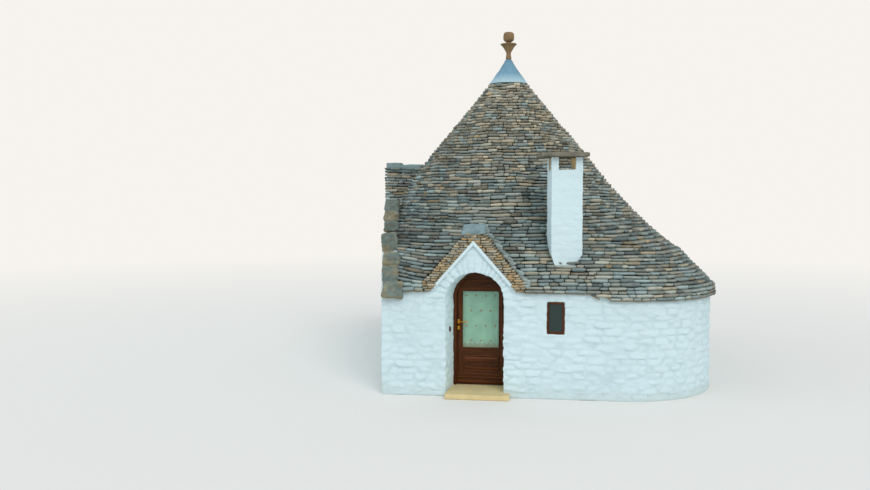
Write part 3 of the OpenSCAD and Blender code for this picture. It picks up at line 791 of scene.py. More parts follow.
def rubble(co, size, seed):
    """Stones of a rubble wall round each point: distance to the joint, and the stone's height and lean."""
    place = co / np.array(size)
    place[:, 0] += 0.5 * (np.floor(place[:, 2]) % 2)
    cell = np.floor(place).astype(np.int64)
    near = np.full((2, len(co)), 9.0)
    stone = np.zeros((len(co), 6))
    for step in np.ndindex(3, 3, 3):
        here = cell + np.array(step) - 1
        key = (here[:, 0] * MIX[0]) ^ (here[:, 1] * MIX[1]) ^ (here[:, 2] * MIX[2]) ^ seed
        draw = np.stack([((key * m + 12345) >> 7) % SPAN / SPAN for m in DRAWS], 1)
        away = place - (here + 0.5 + (draw[:, :3] - 0.5) * (0.75, 0.75, 0.55))
        far = np.sum(np.abs(away) ** 3, axis=1) ** (1 / 3)
        first = far < near[0]
        near[1] = np.where(first, near[0], np.minimum(near[1], far))
        near[0] = np.where(first, far, near[0])
        kept = np.hstack([draw[:, 3:4] - 0.5, (draw[:, 4:6] - 0.5) * 2, away])
        stone[first] = kept[first]
    lean = 0.8 * stone[:, 1] * stone[:, 3] + (0.7 * stone[:, 2] - 0.9) * stone[:, 5]
    return near[1] - near[0], stone[:, 0], lean


# Roof slabs

# parts of the roof round its axis, with the angles that they cover in degrees
SECTORS = (
    ("roof_front_left", -160, -120),
    ("roof_front", -120, -60),
    ("roof_front_right", -60, -25),
    ("roof_right", -25, 25),
    ("roof_back_right", 25, 70),
    ("roof_back", 70, 110),
    ("roof_back_left", 110, 155),
    ("roof_left", 155, 200),
)
# numbers of the other parts
CROWN, SADDLE, GABLE_LEFT, GABLE_RIGHT = 20, 21, 30, 31

Slab = namedtuple(
    "Slab", "shape long deep high turn roll lean x y z in_x in_y tone warm tan sector"
)


def sector_of(x, y):
    """The part of the roof that a place belongs to."""
    a = math.degrees(math.atan2(y, x))
    for k, (_, low, high) in enumerate(SECTORS):
        if low <= a < high or low <= a + 360 < high:
            return k
    return 0


class Slabs:
    """Slabs laid in courses, gathered and then built as one mesh for each part of the roof."""

    SHAPES = 8
    SIZE = (0.27, 0.20, 0.05)

    def __init__(self, seed):
        self.rng = np.random.default_rng(seed)
        self.shapes = [self.shape(k) for k in range(self.SHAPES)]
        self.rows = []

    def shape(self, k):
        """One flat split slab with its front towards -Y: sawn from a block, broken and worn."""
        sx, sy, sz = self.SIZE
        ob = block("slab_shape", (-sx / 2, 0, 0), (sx / 2, sy, sz))
        for at, lean in ((-0.40, 0.1), (0.0, -0.3), (0.40, 0.1)):
            bpy.ops.mesh.select_all(action="SELECT")
            bpy.ops.mesh.bisect(
                plane_co=((at + self.rng.uniform(-0.05, 0.05)) * sx, 0, 0),
                plane_no=(1, lean * self.rng.uniform(-1, 1), 0),
            )
        pick(self.is_front_edge, "edges")
        bpy.ops.mesh.bevel(offset=0.0055, segments=1, affect="EDGES")
        bpy.ops.mesh.select_all(action="SELECT")
        bpy.ops.transform.vertex_random(offset=0.0042, seed=k)
        pick(lambda v: v.co.y < sy * 0.5, "verts")
        bpy.ops.transform.vertex_random(offset=0.0050, seed=k + 40)
        bpy.ops.mesh.select_all(action="SELECT")
        bpy.ops.mesh.quads_convert_to_tris()
        done()
        co = points(ob)
        # the ends are broken: thinner there, and drawn back from the front
        end = np.clip(np.abs(co[:, 0]) / (sx * 0.5) - 0.75, 0, 0.25) / 0.25
        bite = self.rng.uniform(0.1, 0.42)
        co[:, 2] = sz * 0.5 + (co[:, 2] - sz * 0.5) * (1 - bite * end)
        co[:, 1] += 0.022 * end * (co[:, 1] < sy * 0.5)
        co = co - np.array([0, co[:, 1].min(), 0])
        faces = np.array([list(p.vertices) for p in ob.data.polygons])
        bpy.data.objects.remove(ob)
        return co, faces

    @staticmethod
    def is_front_edge(edge):
        """A level edge of the block's front."""
        a, b = (v.co for v in edge.verts)
        return max(a.y, b.y) < 0.001 and abs(a.z - b.z) < 0.001

    def course(
        self, x, y, z, inward, usual, thick, deep, style, sector, free=True, tilt=0.05, out=0.012
    ):
        """Fills the free stretches of a course. x, y, z: places along it; inward: into the roof."""
        path = np.stack(np.broadcast_arrays(x, y, z), -1).astype(float)
        free = np.broadcast_to(free, len(path))
        inward = np.broadcast_to(inward, (len(path), 2))
        usual = np.broadcast_to(usual, len(path))
        thick = np.broadcast_to(thick, len(path))
        step = np.linalg.norm(np.diff(path, axis=0), axis=1)
        far = np.concatenate([[0], np.cumsum(step)])

        def at(place, row):
            return np.array([np.interp(place, far, column) for column in np.atleast_2d(row.T)])

        for a, b in self.stretches(free, far):
            mean = float(np.mean(usual[(far >= a) & (far <= b)]))
            n = max(1, int(round((b - a) / mean)))
            cuts = np.cumsum(self.rng.uniform(0.45, 1.6, n))
            cuts = a + (b - a) * np.concatenate([[0], cuts / cuts[-1]])
            for start, end in zip(cuts, cuts[1:]):
                mid = (start + end) / 2
                along = at(mid + 0.06, path) - at(mid - 0.06, path)
                high = at(mid, thick)[0]
                spot, way = at(mid, path), at(mid, inward)
                self.add(spot, way, along, end - start, high, deep, style, sector, tilt, out)

    @staticmethod
    def stretches(free, far):
        """The first and last distance of each free stretch that is long enough for a slab."""
        spans, start = [], None
        for i, open_here in enumerate(free):
            if open_here and start is None:
                start = i
            if start is not None and (not open_here or i == len(free) - 1):
                if far[i - 1] - far[start] > 0.05:
                    spans.append((far[start], far[i] if open_here else far[i - 1]))
                start = None
        return spans

    def add(self, p, inward, along, size, high, deep, style, sector, tilt, out):
        """Lays one slab; no two are alike."""
        rng = self.rng
        flat = math.hypot(along[0], along[1]) or 1e-6
        turn = math.atan2(along[1], along[0]) + rng.normal(0, 0.02)
        tone, warm, tan = style(p, rng)
        slab = Slab(
            shape=rng.integers(self.SHAPES),
            long=size - rng.uniform(0.003, 0.014),
            deep=deep * rng.uniform(0.9, 1.1),
            high=high * rng.uniform(0.74, 1.04),
            turn=turn,
            roll=math.atan2(along[2], flat) + rng.normal(0, 0.010),
            lean=tilt + rng.normal(0, 0.02),
            x=p[0] + inward[0] * rng.uniform(0, 2 * out),
            y=p[1] + inward[1] * rng.uniform(0, 2 * out),
            z=p[2],
            in_x=inward[0],
            in_y=inward[1],
            tone=tone,
            warm=warm,
            tan=tan,
            sector=sector_of(p[0], p[1]) if sector is None else sector,
        )
        self.rows.append(slab)

    def build(self, name, sector, coat):
        """The slabs of one part of the roof as one mesh."""
        rows = np.array([slab for slab in self.rows if slab.sector == sector])
        co, faces, marks, start = [], [], [], 0
        for k, (shape, tris) in enumerate(self.shapes):
            mine = rows[rows[:, 0] == k]
            if not len(mine):
                continue
            s = Slab(*mine.T[:, :, None])
            size = np.hstack([s.long, s.deep, s.high]) / np.array(self.SIZE)
            v = shape[None] * size[:, None]
            # the slab leans out and down, follows the course's slope, then turns with the wall
            y = v[..., 1] * np.cos(s.lean) - v[..., 2] * np.sin(s.lean)
            z = v[..., 2] * np.cos(s.lean) + v[..., 1] * np.sin(s.lean)
            x = v[..., 0] * np.cos(s.roll) - z * np.sin(s.roll)
            z = z * np.cos(s.roll) + v[..., 0] * np.sin(s.roll)
            side = np.sign(np.cos(s.turn) * s.in_y - np.sin(s.turn) * s.in_x)
            px = x * np.cos(s.turn) - y * side * np.sin(s.turn) + s.x
            py = x * np.sin(s.turn) + y * side * np.cos(s.turn) + s.y
            co.append(np.stack([px, py, z + s.z], -1).reshape(-1, 3))
            f = tris[None] + (np.arange(len(mine)) * len(shape))[:, None, None] + start
            f = np.where(side[..., None] < 0, f[..., ::-1], f)
            faces.append(f.reshape(-1, 3))
            looks = np.repeat(np.hstack([s.tone, s.warm, s.tan]), len(shape), axis=0)
            # height within each slab, which the finish turns into painted shade at the foot and a painted
            # highlight at the top
            rise = np.tile(shape[:, 2] / self.SIZE[2], len(mine))
            marks.append(np.column_stack([looks, rise]))
            start += len(mine) * len(shape)
        co, faces, marks = np.concatenate(co), np.concatenate(faces), np.concatenate(marks)
        mesh = bpy.data.meshes.new(name)
        mesh.vertices.add(len(co))
        mesh.vertices.foreach_set("co", co.ravel())
        mesh.loops.add(len(faces) * 3)
        mesh.loops.foreach_set("vertex_index", faces.ravel())
        mesh.polygons.add(len(faces))
        mesh.polygons.foreach_set("loop_start", np.arange(0, len(faces) * 3, 3))
        mesh.update(calc_edges=True)
        mark(mesh, **dict(zip(("tone", "warm", "tan", "rise"), marks.T)))
        mesh.materials.append(coat)
        return keep_inside(add(name, mesh))


def roof_style(p, rng):
    """Tone, warmth and tan of a slab on the main roof, by where it lies."""
    x, y, z = p
    up = ease((z - 2.3) / 3.0)
    left = ease((-x + 0.2) / 2.2) if y < 0 else 0.3
    low = 1 - ease((z - 2.0) / 1.0)
    # painted shadow: towards the left of the front, and a little at the back, slabs are cooler and, above
    # the lowest courses, darker
    warm = np.clip(0.22 + 0.50 * up - 0.16 * left + rng.normal(0, 0.36), 0, 1)
    tone = 0.50 + 0.04 * up + 0.14 * low - 0.12 * left * (1 - low) + rng.normal(0, 0.27)
    if rng.random() < 0.12:
        tone += 0.30
    tan = 0.6 if rng.random() < 0.012 else 0.0
    return np.clip(tone, 0.12, 1.15), warm, tan


def mortar_style(p, rng):
    """The thin ochre line of mortar that the eave lies on."""
    return 0.62, 1.0, rng.uniform(0.3, 0.7)


def valley_style(p, rng):
    """Pale stones beside the gable's slabs."""
    return rng.uniform(0.70, 1.25), rng.uniform(0, 0.2), 0.0


def gable_style(p, rng):
    tone = np.clip(0.58 + rng.normal(0, 0.16), 0.2, 1.0) + 0.06
    warm = rng.uniform(0.3, 1.0)
    return tone, warm, np.clip(rng.normal(0.50, 0.36), 0, 1)


# Operators, one for each group of pieces


class TRULLO_OT_stage(bpy.types.Operator):
    """Add the camera, the pale floor and the soft lamps"""

    bl_idname = "trullo.stage"
    bl_label = "Stage"

    EYE = (1.01, -18.79, 3.50)
    DOWN, LEFT = 3.045, 8
    SKY = (0.90, 0.96, 1.0)
    # name, way that it shines, strength, softness in degrees, colour
    LAMPS = (
        ("key", (-0.38, 0.75, -0.62), 1.10, 30, (1.0, 0.97, 0.93)),
        ("fill", (0.85, 0.35, -0.30), 0.50, 60, (0.80, 0.92, 1.0)),
    )

    def execute(self, context):
        hues = context.scene.trullo_colours
        lens = bpy.data.cameras.new("view")
        lens.lens = 35
        lens.sensor_width = 36
        lens.clip_end = 400
        eye = add("view", lens)
        eye.location = self.EYE
        eye.rotation_euler = (math.radians(90 - self.DOWN), 0, math.radians(self.LEFT))
        context.scene.camera = eye
        self.ground(hues)
        self.world(hues)
        for name, way, strength, soft, tone in self.LAMPS:
            lamp = bpy.data.lights.new(name, "SUN")
            lamp.energy = strength
            lamp.angle = math.radians(soft)
            lamp.color = tone
            add(name, lamp).rotation_euler = Vector(way).to_track_quat("-Z", "Y").to_euler()
        context.scene.view_settings.view_transform = "Standard"
        return {"FINISHED"}

    def ground(self, hues):
        """A wide pale floor that fades into the backdrop far from the house."""
        clear()
        bpy.ops.mesh.primitive_plane_add(size=120, location=(0, 0, -0.002))
        floor = bpy.context.object
        floor.name = "studio_floor"
        c = Coat("studio_floor")
        lit = c.node("ShaderNodeBsdfDiffuse", {}, {"Color": hues.floor})
        pale = c.node("ShaderNodeEmission", {}, {"Color": hues.backdrop})
        x, y, _ = c.axes(c.place())
        far = c.steps((x * x + y * y) ** 0.5 * 0.025, (0.25, 0.0), (0.85, 1.0))
        seen = c.node("ShaderNodeLightPath", out="Is Camera Ray")
        fade = c.node("ShaderNodeMixShader", {}, {0: far * seen, 1: lit, 2: pale})
        c.node("ShaderNodeOutputMaterial", {}, {"Surface": fade})
        floor.data.materials.append(c.material)

    def world(self, hues):
        """Soft light from the sky; the camera sees a pale backdrop instead."""
        c = Coat("studio", world=True)
        camera = c.node("ShaderNodeLightPath", out="Is Camera Ray")
        glass = c.node("ShaderNodeLightPath", out="Is Transmission Ray")
        light = c.node("ShaderNodeBackground", {}, {"Color": self.SKY, "Strength": 0.74})
        shown = c.node("ShaderNodeBackground", {}, {"Color": hues.backdrop, "Strength": 1.0})
        seen = c.maths("MAXIMUM", camera, glass)
        both = c.node("ShaderNodeMixShader", {}, {0: seen, 1: light, 2: shown})
        c.node("ShaderNodeOutputWorld", {}, {"Surface": both})
        bpy.context.scene.world = c.material


class TRULLO_OT_masonry(bpy.types.Operator):
    """Build the whitewashed rubble walls and the arched portal as one soft shell"""

    bl_idname = "trullo.masonry"
    bl_label = "Masonry"

    FRONT = ("front_wall_left", "front_wall_right", "jamb_left", "jamb_right")
    FRONT += ("portal_arch", "recess_lintel")
    RIGHT = ("corner_wall_front", "right_wall", "corner_wall_back")
    BACK = ("back_wall", "party_wall")
    RIGHT_FROM, BACK_FROM = 2.15, -2.3
    MOST = 360000

    def execute(self, context):
        sizes, hues = context.scene.trullo_sizes, context.scene.trullo_colours
        stone = (sizes.rubble_long, sizes.rubble_long, sizes.rubble_high)
        ob = copy_nodes("masonry", *self.FRONT, *self.RIGHT, *self.BACK)
        remesh(ob, sizes.wall_grain)
        co = points(ob)
        co[:, 1] = np.clip(co[:, 1], -WALL, WALL)
        set_points(ob, co)
        weight = self.weigh(ob)
        self.stones(ob, stone, sizes.rubble, weight)
        relief(ob, 0.024, (0.9, 0.9, 0.7), group="relief")
        modify(ob, "SMOOTH", factor=0.5, iterations=1)
        self.arch(ob, sizes.groove)
        ob.vertex_groups.clear()
        co = points(ob)
        co[:, 2] = np.where(co[:, 2] < 0.012, 0.0, co[:, 2])
        set_points(ob, co)
        keep_inside(ob)
        self.tuck(ob)
        thin(ob, self.MOST)
        self.mark_joints(ob, stone)
        smooth(ob, 60)
        coat = whitewash_coat("whitewash", hues)
        front = self.share(
            ob, "masonry_front", lambda c: c.y < self.BACK_FROM and c.x < self.RIGHT_FROM
        )
        right = self.share(ob, "masonry_right", lambda c: c.x >= self.RIGHT_FROM)
        back = self.share(
            ob, "masonry_back", lambda c: c.y >= self.BACK_FROM and c.x < self.RIGHT_FROM
        )
        finished(front, coat, "whitewash", *self.FRONT)
        finished(right, coat, "whitewash", *self.RIGHT)
        finished(back, coat, "whitewash", *self.BACK)
        bpy.data.objects.remove(ob)
        return {"FINISHED"}

    def weigh(self, ob):
        """Full relief outside, less on the party side and in the room, least in the reveals."""
        x, y, z = points(ob).T
        inside = (np.abs(x - 0.1) < 2.62) & (y > -2.70) & (y < 2.75) & (x > party_line(y) + 0.45)
        reveal = (y > -3.90) & (y < -2.6) & (x > -1.1) & (x < 1.3)
        window = (np.abs(x - 0.975) < 0.24) & (np.abs(z - 1.50) < 0.40) & (y < -3.3)
        weight = np.where(inside, 0.45, np.where(reveal, 0.38, 1.0))
        weight = np.where(x < party_line(y) + 0.06, 0.5, weight)
        weight = np.where(window, 0.35, weight)
        weight = weight * ease((z + 0.02) / 0.08)
        group = ob.vertex_groups.new(name="relief")
        for k in range(1, 11):
            chosen = np.nonzero(np.round(weight * 10) == k)[0]
            group.add(chosen.tolist(), k / 10, "REPLACE")
        return weight

    def stones(self, ob, stone, depth, weight):
        """Moves the faces of the wall's stones out and in, and leaves joints between them."""
        co = points(ob)
        gap, high, lean = rubble(co, stone, 7)
        small_gap, small_high, _ = rubble(co, tuple(0.45 * v for v in stone), 31)
        out = depth * (ease(gap / 0.30) * (0.62 + 0.9 * high + 0.75 * lean) - 0.55)
        out = out + 0.22 * depth * (ease(small_gap / 0.5) - 0.6 + small_high)
        swell(ob, out * weight)

    def tuck(self, ob):
        """Keeps the party wall's sloping head under the slabs."""
        co = points(ob)
        left = (co[:, 0] < -1.35) & (co[:, 2] > 1.84)
        front = np.clip(LEVELS[0][1] - np.abs(co[:, 1]), 0, 2)
        head = np.maximum(1.93 + front * (0.61 / 0.595) - 0.13, 1.84)
        co[:, 2] = np.where(left, np.minimum(co[:, 2], head), co[:, 2])
        set_points(ob, co)

    def mark_joints(self, ob, stone):
        """Keeps where the joints and the doorway's reveals are, for the limewash, which paints light into
        the reveals.
        """
        co = points(ob)
        gap = rubble(co, stone, 7)[0]
        groove, end = self.arch_grooves(co)
        cut = np.exp(-((groove / 0.014) ** 2)) * ease(end / 0.06)
        passage = (co[:, 1] < -2.6) & (np.abs(co[:, 0] + 0.3) < 0.95)
        mark(
            ob.data,
            joint=np.where(end > 0, cut, 0.45 * (1 - ease(gap / 0.2))),
            # where the limewash paints light into the passage's reveals
            reveal=ease((co[:, 1] + WALL) / 0.10) * passage,
        )

    def arch(self, ob, depth):
        """Radial stones round the arch: grooves between them and a slightly uneven edge."""
        co = points(ob)
        dx, dz = co[:, 0] - ARCH_X, co[:, 2] - ARCH_Z
        far = np.hypot(dx, dz)
        angle = np.arctan2(dz, dx)
        gap, end = self.arch_grooves(co)
        stone = np.searchsorted(self.arch_cuts(), angle)
        rng = np.random.default_rng(6)
        own = rng.uniform(0.002, 0.018, 21)[stone]
        strong = 0.8 + 0.7 * np.exp(-(((angle - 2.4) / 0.5) ** 2))
        edge = np.exp(-((gap / 0.016) ** 2))
        co[:, 1] += np.where(end > 0, (depth * strong * edge - own) * ease(end / 0.05), 0)
        push = rng.uniform(-0.005, 0.005, 21)[stone]
        rimmed = (far < 0.56) & (far > 0.45) & (dz > 0) & (co[:, 1] < -3.42)
        fade = ease((0.56 - far) / 0.05)
        scale = np.where(rimmed, 1 + push * fade / np.maximum(far, 0.1), 1)
        co[:, 0] = ARCH_X + dx * scale
        co[:, 2] = ARCH_Z + dz * scale
        set_points(ob, co)

    def arch_cuts(self):
        """Angles of the joints between the stones of the arch."""
        cuts = np.cumsum(np.random.default_rng(5).uniform(0.75, 1.25, ARCH_STONES))
        return -0.12 + cuts / cuts[-1] * (math.pi + 0.24)

    def arch_grooves(self, co):
        """Each point's distance from the arch's nearest joint, and from its stones' outer ends."""
        dx, dz = co[:, 0] - ARCH_X, co[:, 2] - ARCH_Z
        far = np.hypot(dx, dz)
        angle = np.arctan2(dz, dx)
        gap = np.min(np.abs(angle[:, None] - self.arch_cuts()[None]), axis=1) * far
        face = (co[:, 1] < -3.90) & (angle > -0.15) & (angle < math.pi + 0.15)
        return gap, np.where(face, 0.78 + 0.045 * np.sin(angle * 9.0) - far, 0)

    def share(self, ob, name, mine):
        """A copy of the faces whose centre passes a test."""
        part = add(name, ob.data.copy())
        edit(part)
        pick(lambda f: not mine(f.calc_center_median()))
        bpy.ops.mesh.delete(type="FACE")
        done()
        return part


class TRULLO_OT_roof(bpy.types.Operator):
    """Lay the roof's split slabs in courses over a dark core"""

    bl_idname = "trullo.roof"
    bl_label = "Roof slabs"

    CROWN_FROM = 4.53
    # the ring of places along a course, in degrees
    RING = np.arange(0, 360.01, 0.4)

    def execute(self, context):
        sizes, hues = context.scene.trullo_sizes, context.scene.trullo_colours
        coat = slab_coat("roof_slabs", hues)
        # the core behind the slabs: the bedding's colour and painted shade in the gaps between courses
        bed = stone_coat("roof_bedding", hues.bed, 0.7, 1.2, spots=0.0)
        lining = whitewash_coat("dome_lining", hues, 0.010, foot=False)
        slabs = Slabs(11)
        self.lay_main(slabs, sizes)
        self.lay_saddle(slabs, sizes)
        self.lay_gable(slabs, sizes)
        parts = {node: k for k, (node, _, _) in enumerate(SECTORS)}
        parts |= {"roof_crown": CROWN, "roof_saddle": SADDLE}
        parts |= {"gable_slabs_left": GABLE_LEFT, "gable_slabs_right": GABLE_RIGHT}
        for node, number in parts.items():
            gable = node.startswith("gable")
            name = node.replace("gable", "tan").replace("roof", "slabs")
            ob = slabs.build(name, number, coat)
            depth = sizes.gable_bedding if gable else sizes.bedding
            self.core(ob, node, depth, bed, lining)
            if node == "roof_saddle":
                self.party_face(ob, lining)
            finished(ob, None, "tan_slabs" if gable else "roof_slabs", node)
        return {"FINISHED"}

    def lay_main(self, slabs, sizes):
        """Courses from the eave to the cap, and the mortar line under the eave."""
        z = EAVE - 2 * sizes.course_low
        while z < CAP - 0.001:
            growth = float(ease((z - 2.2) / 1.3))
            high = sizes.course_low + (sizes.course_high - sizes.course_low) * growth
            if CAP - z < 1.5 * high:
                high = CAP - z
            start = slabs.rng.uniform(-180, 180) if z > 3.2 else -180.0
            angle = start + self.RING
            angle = np.where(angle > 180, angle - 360, angle)
            x, y, real = self.line(z, angle, 0.75 * high)
            thick = self.line(z + high, angle)[2] - real
            below_eave = z < EAVE - 0.01
            if below_eave:
                real, thick = np.full(len(x), z), high
            free = self.free(x, y, real, sizes.verge_wide)
            if below_eave:
                free &= z > self.foot(x, y, sizes.course_low) - 0.01
            narrowing = float(ease((z - 2.6) / 3.2))
            usual = sizes.slab_long + (sizes.slab_short - sizes.slab_long) * narrowing
            deep = min(sizes.slab_deep, 0.55 * float(reach(z, 0.0)))
            sector = CROWN if z > self.CROWN_FROM else None
            out = 0.009 if z < EAVE + 0.01 else 0.015
            self.ring(slabs, x, y, real, free, usual, thick, deep, roof_style, out, sector)
            z += high
        x, y, _ = self.line(EAVE, self.RING - 180)
        real = self.foot(x, y, sizes.course_low) - 0.016
        free = self.free(x, y, EAVE, sizes.verge_wide)
        x, y = x * 0.990, y * 0.990
        self.ring(slabs, x, y, real, free, 0.28, 0.024, 0.12, mortar_style, 0.004, None)

    def ring(self, slabs, x, y, z, free, usual, thick, deep, style, out, sector):
        """Lays one course; the way into the roof is square to the course."""
        spot = np.stack([x, y], -1)
        along = np.gradient(spot, axis=0)
        along /= np.linalg.norm(along, axis=1)[:, None] + 1e-9
        square = np.stack([-along[:, 1], along[:, 0]], -1)
        square *= -np.sign(np.sum(square * spot, 1))[:, None]
        slabs.course(x, y, z, square, usual, thick, deep, style, sector, free=free, out=out)

    def foot(self, x, y, course):
        """Height of the eave's underside: it steps down twice on the right of the window."""
        side = y > -3.0
        first = (x > 1.71) | side
        second = (x > 1.96) | side
        return EAVE - course * (first.astype(float) + second)

    def line(self, z, angle, seat=0.0):
        """Places along one course, under the roof's surface at the height that it has there."""
        rad = np.radians(angle)
        r = reach(z, angle)
        for _ in range(2):
            x, y = r * np.cos(rad), r * np.sin(rad)
            real = z + settle(x, y, z)
            r = reach(np.maximum(real + seat, EAVE), angle)
        return r * np.cos(rad), r * np.sin(rad), real

    def free(self, x, y, z, verge_wide):
        """Where main slabs may lie: not past the party wall, in the saddle, the gable or the chimney."""
        ok = x > slab_end(y, z, verge_wide)
        ok &= ~((x < SADDLE_FROM) & (z > 2.1) & (z < saddle_height(y) - 0.09))
        half = np.minimum((GABLE_TOP + 0.02 - z) / GABLE_RISE, GABLE_HALF)
        valley = np.where(x > GABLE_X, 0.06, 0.012) * (z > 1.97)
        ok &= ~((np.abs(x - GABLE_X) < half + valley - 0.01) & (y < -2.8) & (z < GABLE_TOP))
        u, v = from_chimney(x, y)
        half = 0.265 - 0.07 * np.clip((2.52 - z) / 0.15, 0, 1)
        ok &= ~((np.abs(u) < half) & (np.abs(v) < 0.24) & (z > 2.28))
        return ok

    def lay_saddle(self, slabs, sizes):
        """Straight courses on both slopes of the saddle, up to its ridge."""
        x = np.arange(-3.5, SADDLE_FROM, 0.02)
        high = (sizes.course_low + sizes.course_high) / 2
        z = 2.14
        while z < SADDLE_TOP - 0.03:
            for side in (-1, 1):
                y = np.full(len(x), side * (SADDLE_TOP - z - 0.75 * high) / SADDLE_FALL)
                real = z + 0.008 * np.sin(4 * x + 3 * z)
                free = np.hypot(x, y) > reach(z, np.degrees(np.arctan2(y, x))) - 0.11
                free &= x > slab_end(y, z, sizes.verge_wide)
                inward = (0.0, -float(side))
                slabs.course(x, y, real, inward, 0.24, high, 0.24, roof_style, SADDLE, free=free)
            z += high

    def lay_gable(self, slabs, sizes):
        """Tan slabs step down both sides of the gable, with pale stones in the right valley."""
        z = 1.885
        while z < GABLE_TOP - 0.03:
            out = min((GABLE_TOP - z) / GABLE_RISE, GABLE_HALF)
            inner = max((RIM_TOP + 0.005 - z) / GABLE_RISE - 0.045, 0.0)
            head = -max(3.965, float(reach(z, -90.0)) - 0.012)
            if z > GABLE_TOP - 0.13:
                head = -3.62
            for side, sector in ((-1, GABLE_LEFT), (1, GABLE_RIGHT)):
                self.gable_course(slabs, sizes, z, side, sector, out, inner, head)
            z += sizes.gable_course

    def gable_course(self, slabs, sizes, z, side, sector, out, inner, head):
        """One course on one side: small stones in front, slabs running back behind them."""
        end = roof_front(GABLE_X + side * out, z) + 0.16
        edge = out + slabs.rng.uniform(-0.020, 0.012)
        high = sizes.gable_course
        x = GABLE_X + side * np.arange(inner - 0.02, edge + 0.019, 0.02)
        slabs.course(
            x, head, z, (0, 1), 0.12, 1.04 * high, 0.17, gable_style, sector, tilt=0.03, out=0.009
        )
        y = np.arange(head + 0.14, max(end, head + 0.30), 0.02)
        x = GABLE_X + side * edge
        deep = max(edge - inner, 0.06)
        slabs.course(
            x, y, z, (-side, 0), 0.26, high, deep, gable_style, sector, tilt=0.02, out=0.002
        )
        if z > 1.97 and side > 0:
            size = slabs.rng.uniform(0.10, 0.19)
            x = GABLE_X + (out + size / 2 - 0.038)
            y = roof_front(x, z + 0.04) - slabs.rng.uniform(0.0, 0.03)
            slope = (1.0, 0.0, slabs.rng.uniform(-0.45, 0.05))
            tall = slabs.rng.uniform(0.050, 0.075)
            slabs.add((x, y, z), (0, 1), slope, size, tall, 0.2, valley_style, sector, 0.04, 0.006)

    def party_face(self, ob, lining):
        """Closes the roof's party side with a plain white face under the slabs' ends."""
        foot = 1.90
        heights = np.arange(1.95, SADDLE_TOP, 0.01)
        co = []
        for y in np.arange(-3.90, 3.91, 0.06):
            for x in (party_line(y) + 0.030, party_line(y) + 0.10):
                a = math.degrees(math.atan2(y, x))
                main = heights[reach(heights, a) >= math.hypot(x, y)]
                top = max(main[-1] if len(main) else heights[0], saddle_height(y))
                under = 0.20 if y < VERGE_BACK and top < VERGE_TOP else 0.055
                co += [(x, y, foot), (x, y, max(top - under, foot + 0.01))]
        faces = []
        for k in range(0, len(co) - 4, 4):
            outer = (k, k + 4, k + 5, k + 1)
            inner = (k + 2, k + 3, k + 7, k + 6)
            faces += [outer, inner, (k + 1, k + 5, k + 7, k + 3)]
        face = add_mesh("party_face", co, faces=faces)
        face.data.materials.append(lining)
        joined(ob.name, ob, face)

    def core(self, ob, node, depth, bed, lining):
        """Joins the CAD part behind the slabs, drawn in where it faces the weather."""
        core = copy_nodes("core", node)
        if node.startswith("gable"):
            core.data.transform(Matrix.Translation((0, 0.09, -depth)))
        co = points(core)
        if node == "roof_saddle":
            top = saddle_height(co[:, 1])
            co[:, 2] -= np.where(np.abs(co[:, 2] - top) < 0.02, depth + 0.08, 0)
        elif node.startswith("roof"):
            a = np.degrees(np.arctan2(co[:, 1], co[:, 0]))
            far = np.hypot(co[:, 0], co[:, 1])
            skin = np.abs(far - reach(co[:, 2], a)) < 0.03
            inner = np.minimum(reach(np.minimum(co[:, 2] + 0.07, CAP), a) + 0.025, far) - depth
            share = np.where(skin, np.maximum(inner / np.maximum(far, 0.2), 0.3), 1)
            co[:, :2] *= share[:, None]
        co[:, 0] = np.maximum(co[:, 0], party_line(co[:, 1]) + 0.06)
        set_points(core, co)
        core.data.materials.append(bed)
        core.data.materials.append(lining)
        domed = node.startswith("roof") and node != "roof_saddle"
        for p in core.data.polygons:
            c = p.center
            inner = domed and p.normal.x * c.x + p.normal.y * c.y < 0 and p.normal.z < 0.2
            party = p.normal.x < -0.9 and c.x < party_line(c.y) + 0.05
            p.material_index = int(inner or party)
        joined(ob.name, ob, core)


class TRULLO_OT_gable(bpy.types.Operator):
    """Add the gable's white rim and its flat capstone"""

    bl_idname = "trullo.gable"
    bl_label = "Gable rim and capstone"

    def execute(self, context):
        hues = context.scene.trullo_colours
        rim = copy_nodes("gable_rim_plaster", "gable_rim")
        round_edges(rim, 0.009, 3)
        smooth(rim, 40)
        plaster = whitewash_coat("rim_plaster", hues, 0.0025, foot=False)
        finished(rim, plaster, "whitewash", "gable_rim")

        low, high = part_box("gable_capstone")
        wide, deep, tall = [b - a for a, b in zip(low, high)]
        cap = block("gable_cap_stone", (-wide / 2, 0, 0), (wide / 2, deep, tall))
        pick(lambda f: f.normal.z > 0.9)
        bpy.ops.transform.resize(value=(0.90, 0.94, 1))
        done()
        round_edges(cap, 0.016)
        lean = Matrix.Rotation(math.radians(17), 4, "X") @ Matrix.Rotation(math.radians(-2), 4, "Y")
        cap.data.transform(Matrix.Translation((GABLE_X, -3.955, RIM_TOP + 0.105)) @ lean)
        weather(cap, 0.012, 0.055, (0.12, 0.12, 0.05), most=9000)
        coat = stone_coat("capstone", hues.capstone, 0.62, 1.18, coarse=9.0, spots=0.4)
        finished(cap, coat, "pale_stone", "gable_capstone")
        return {"FINISHED"}


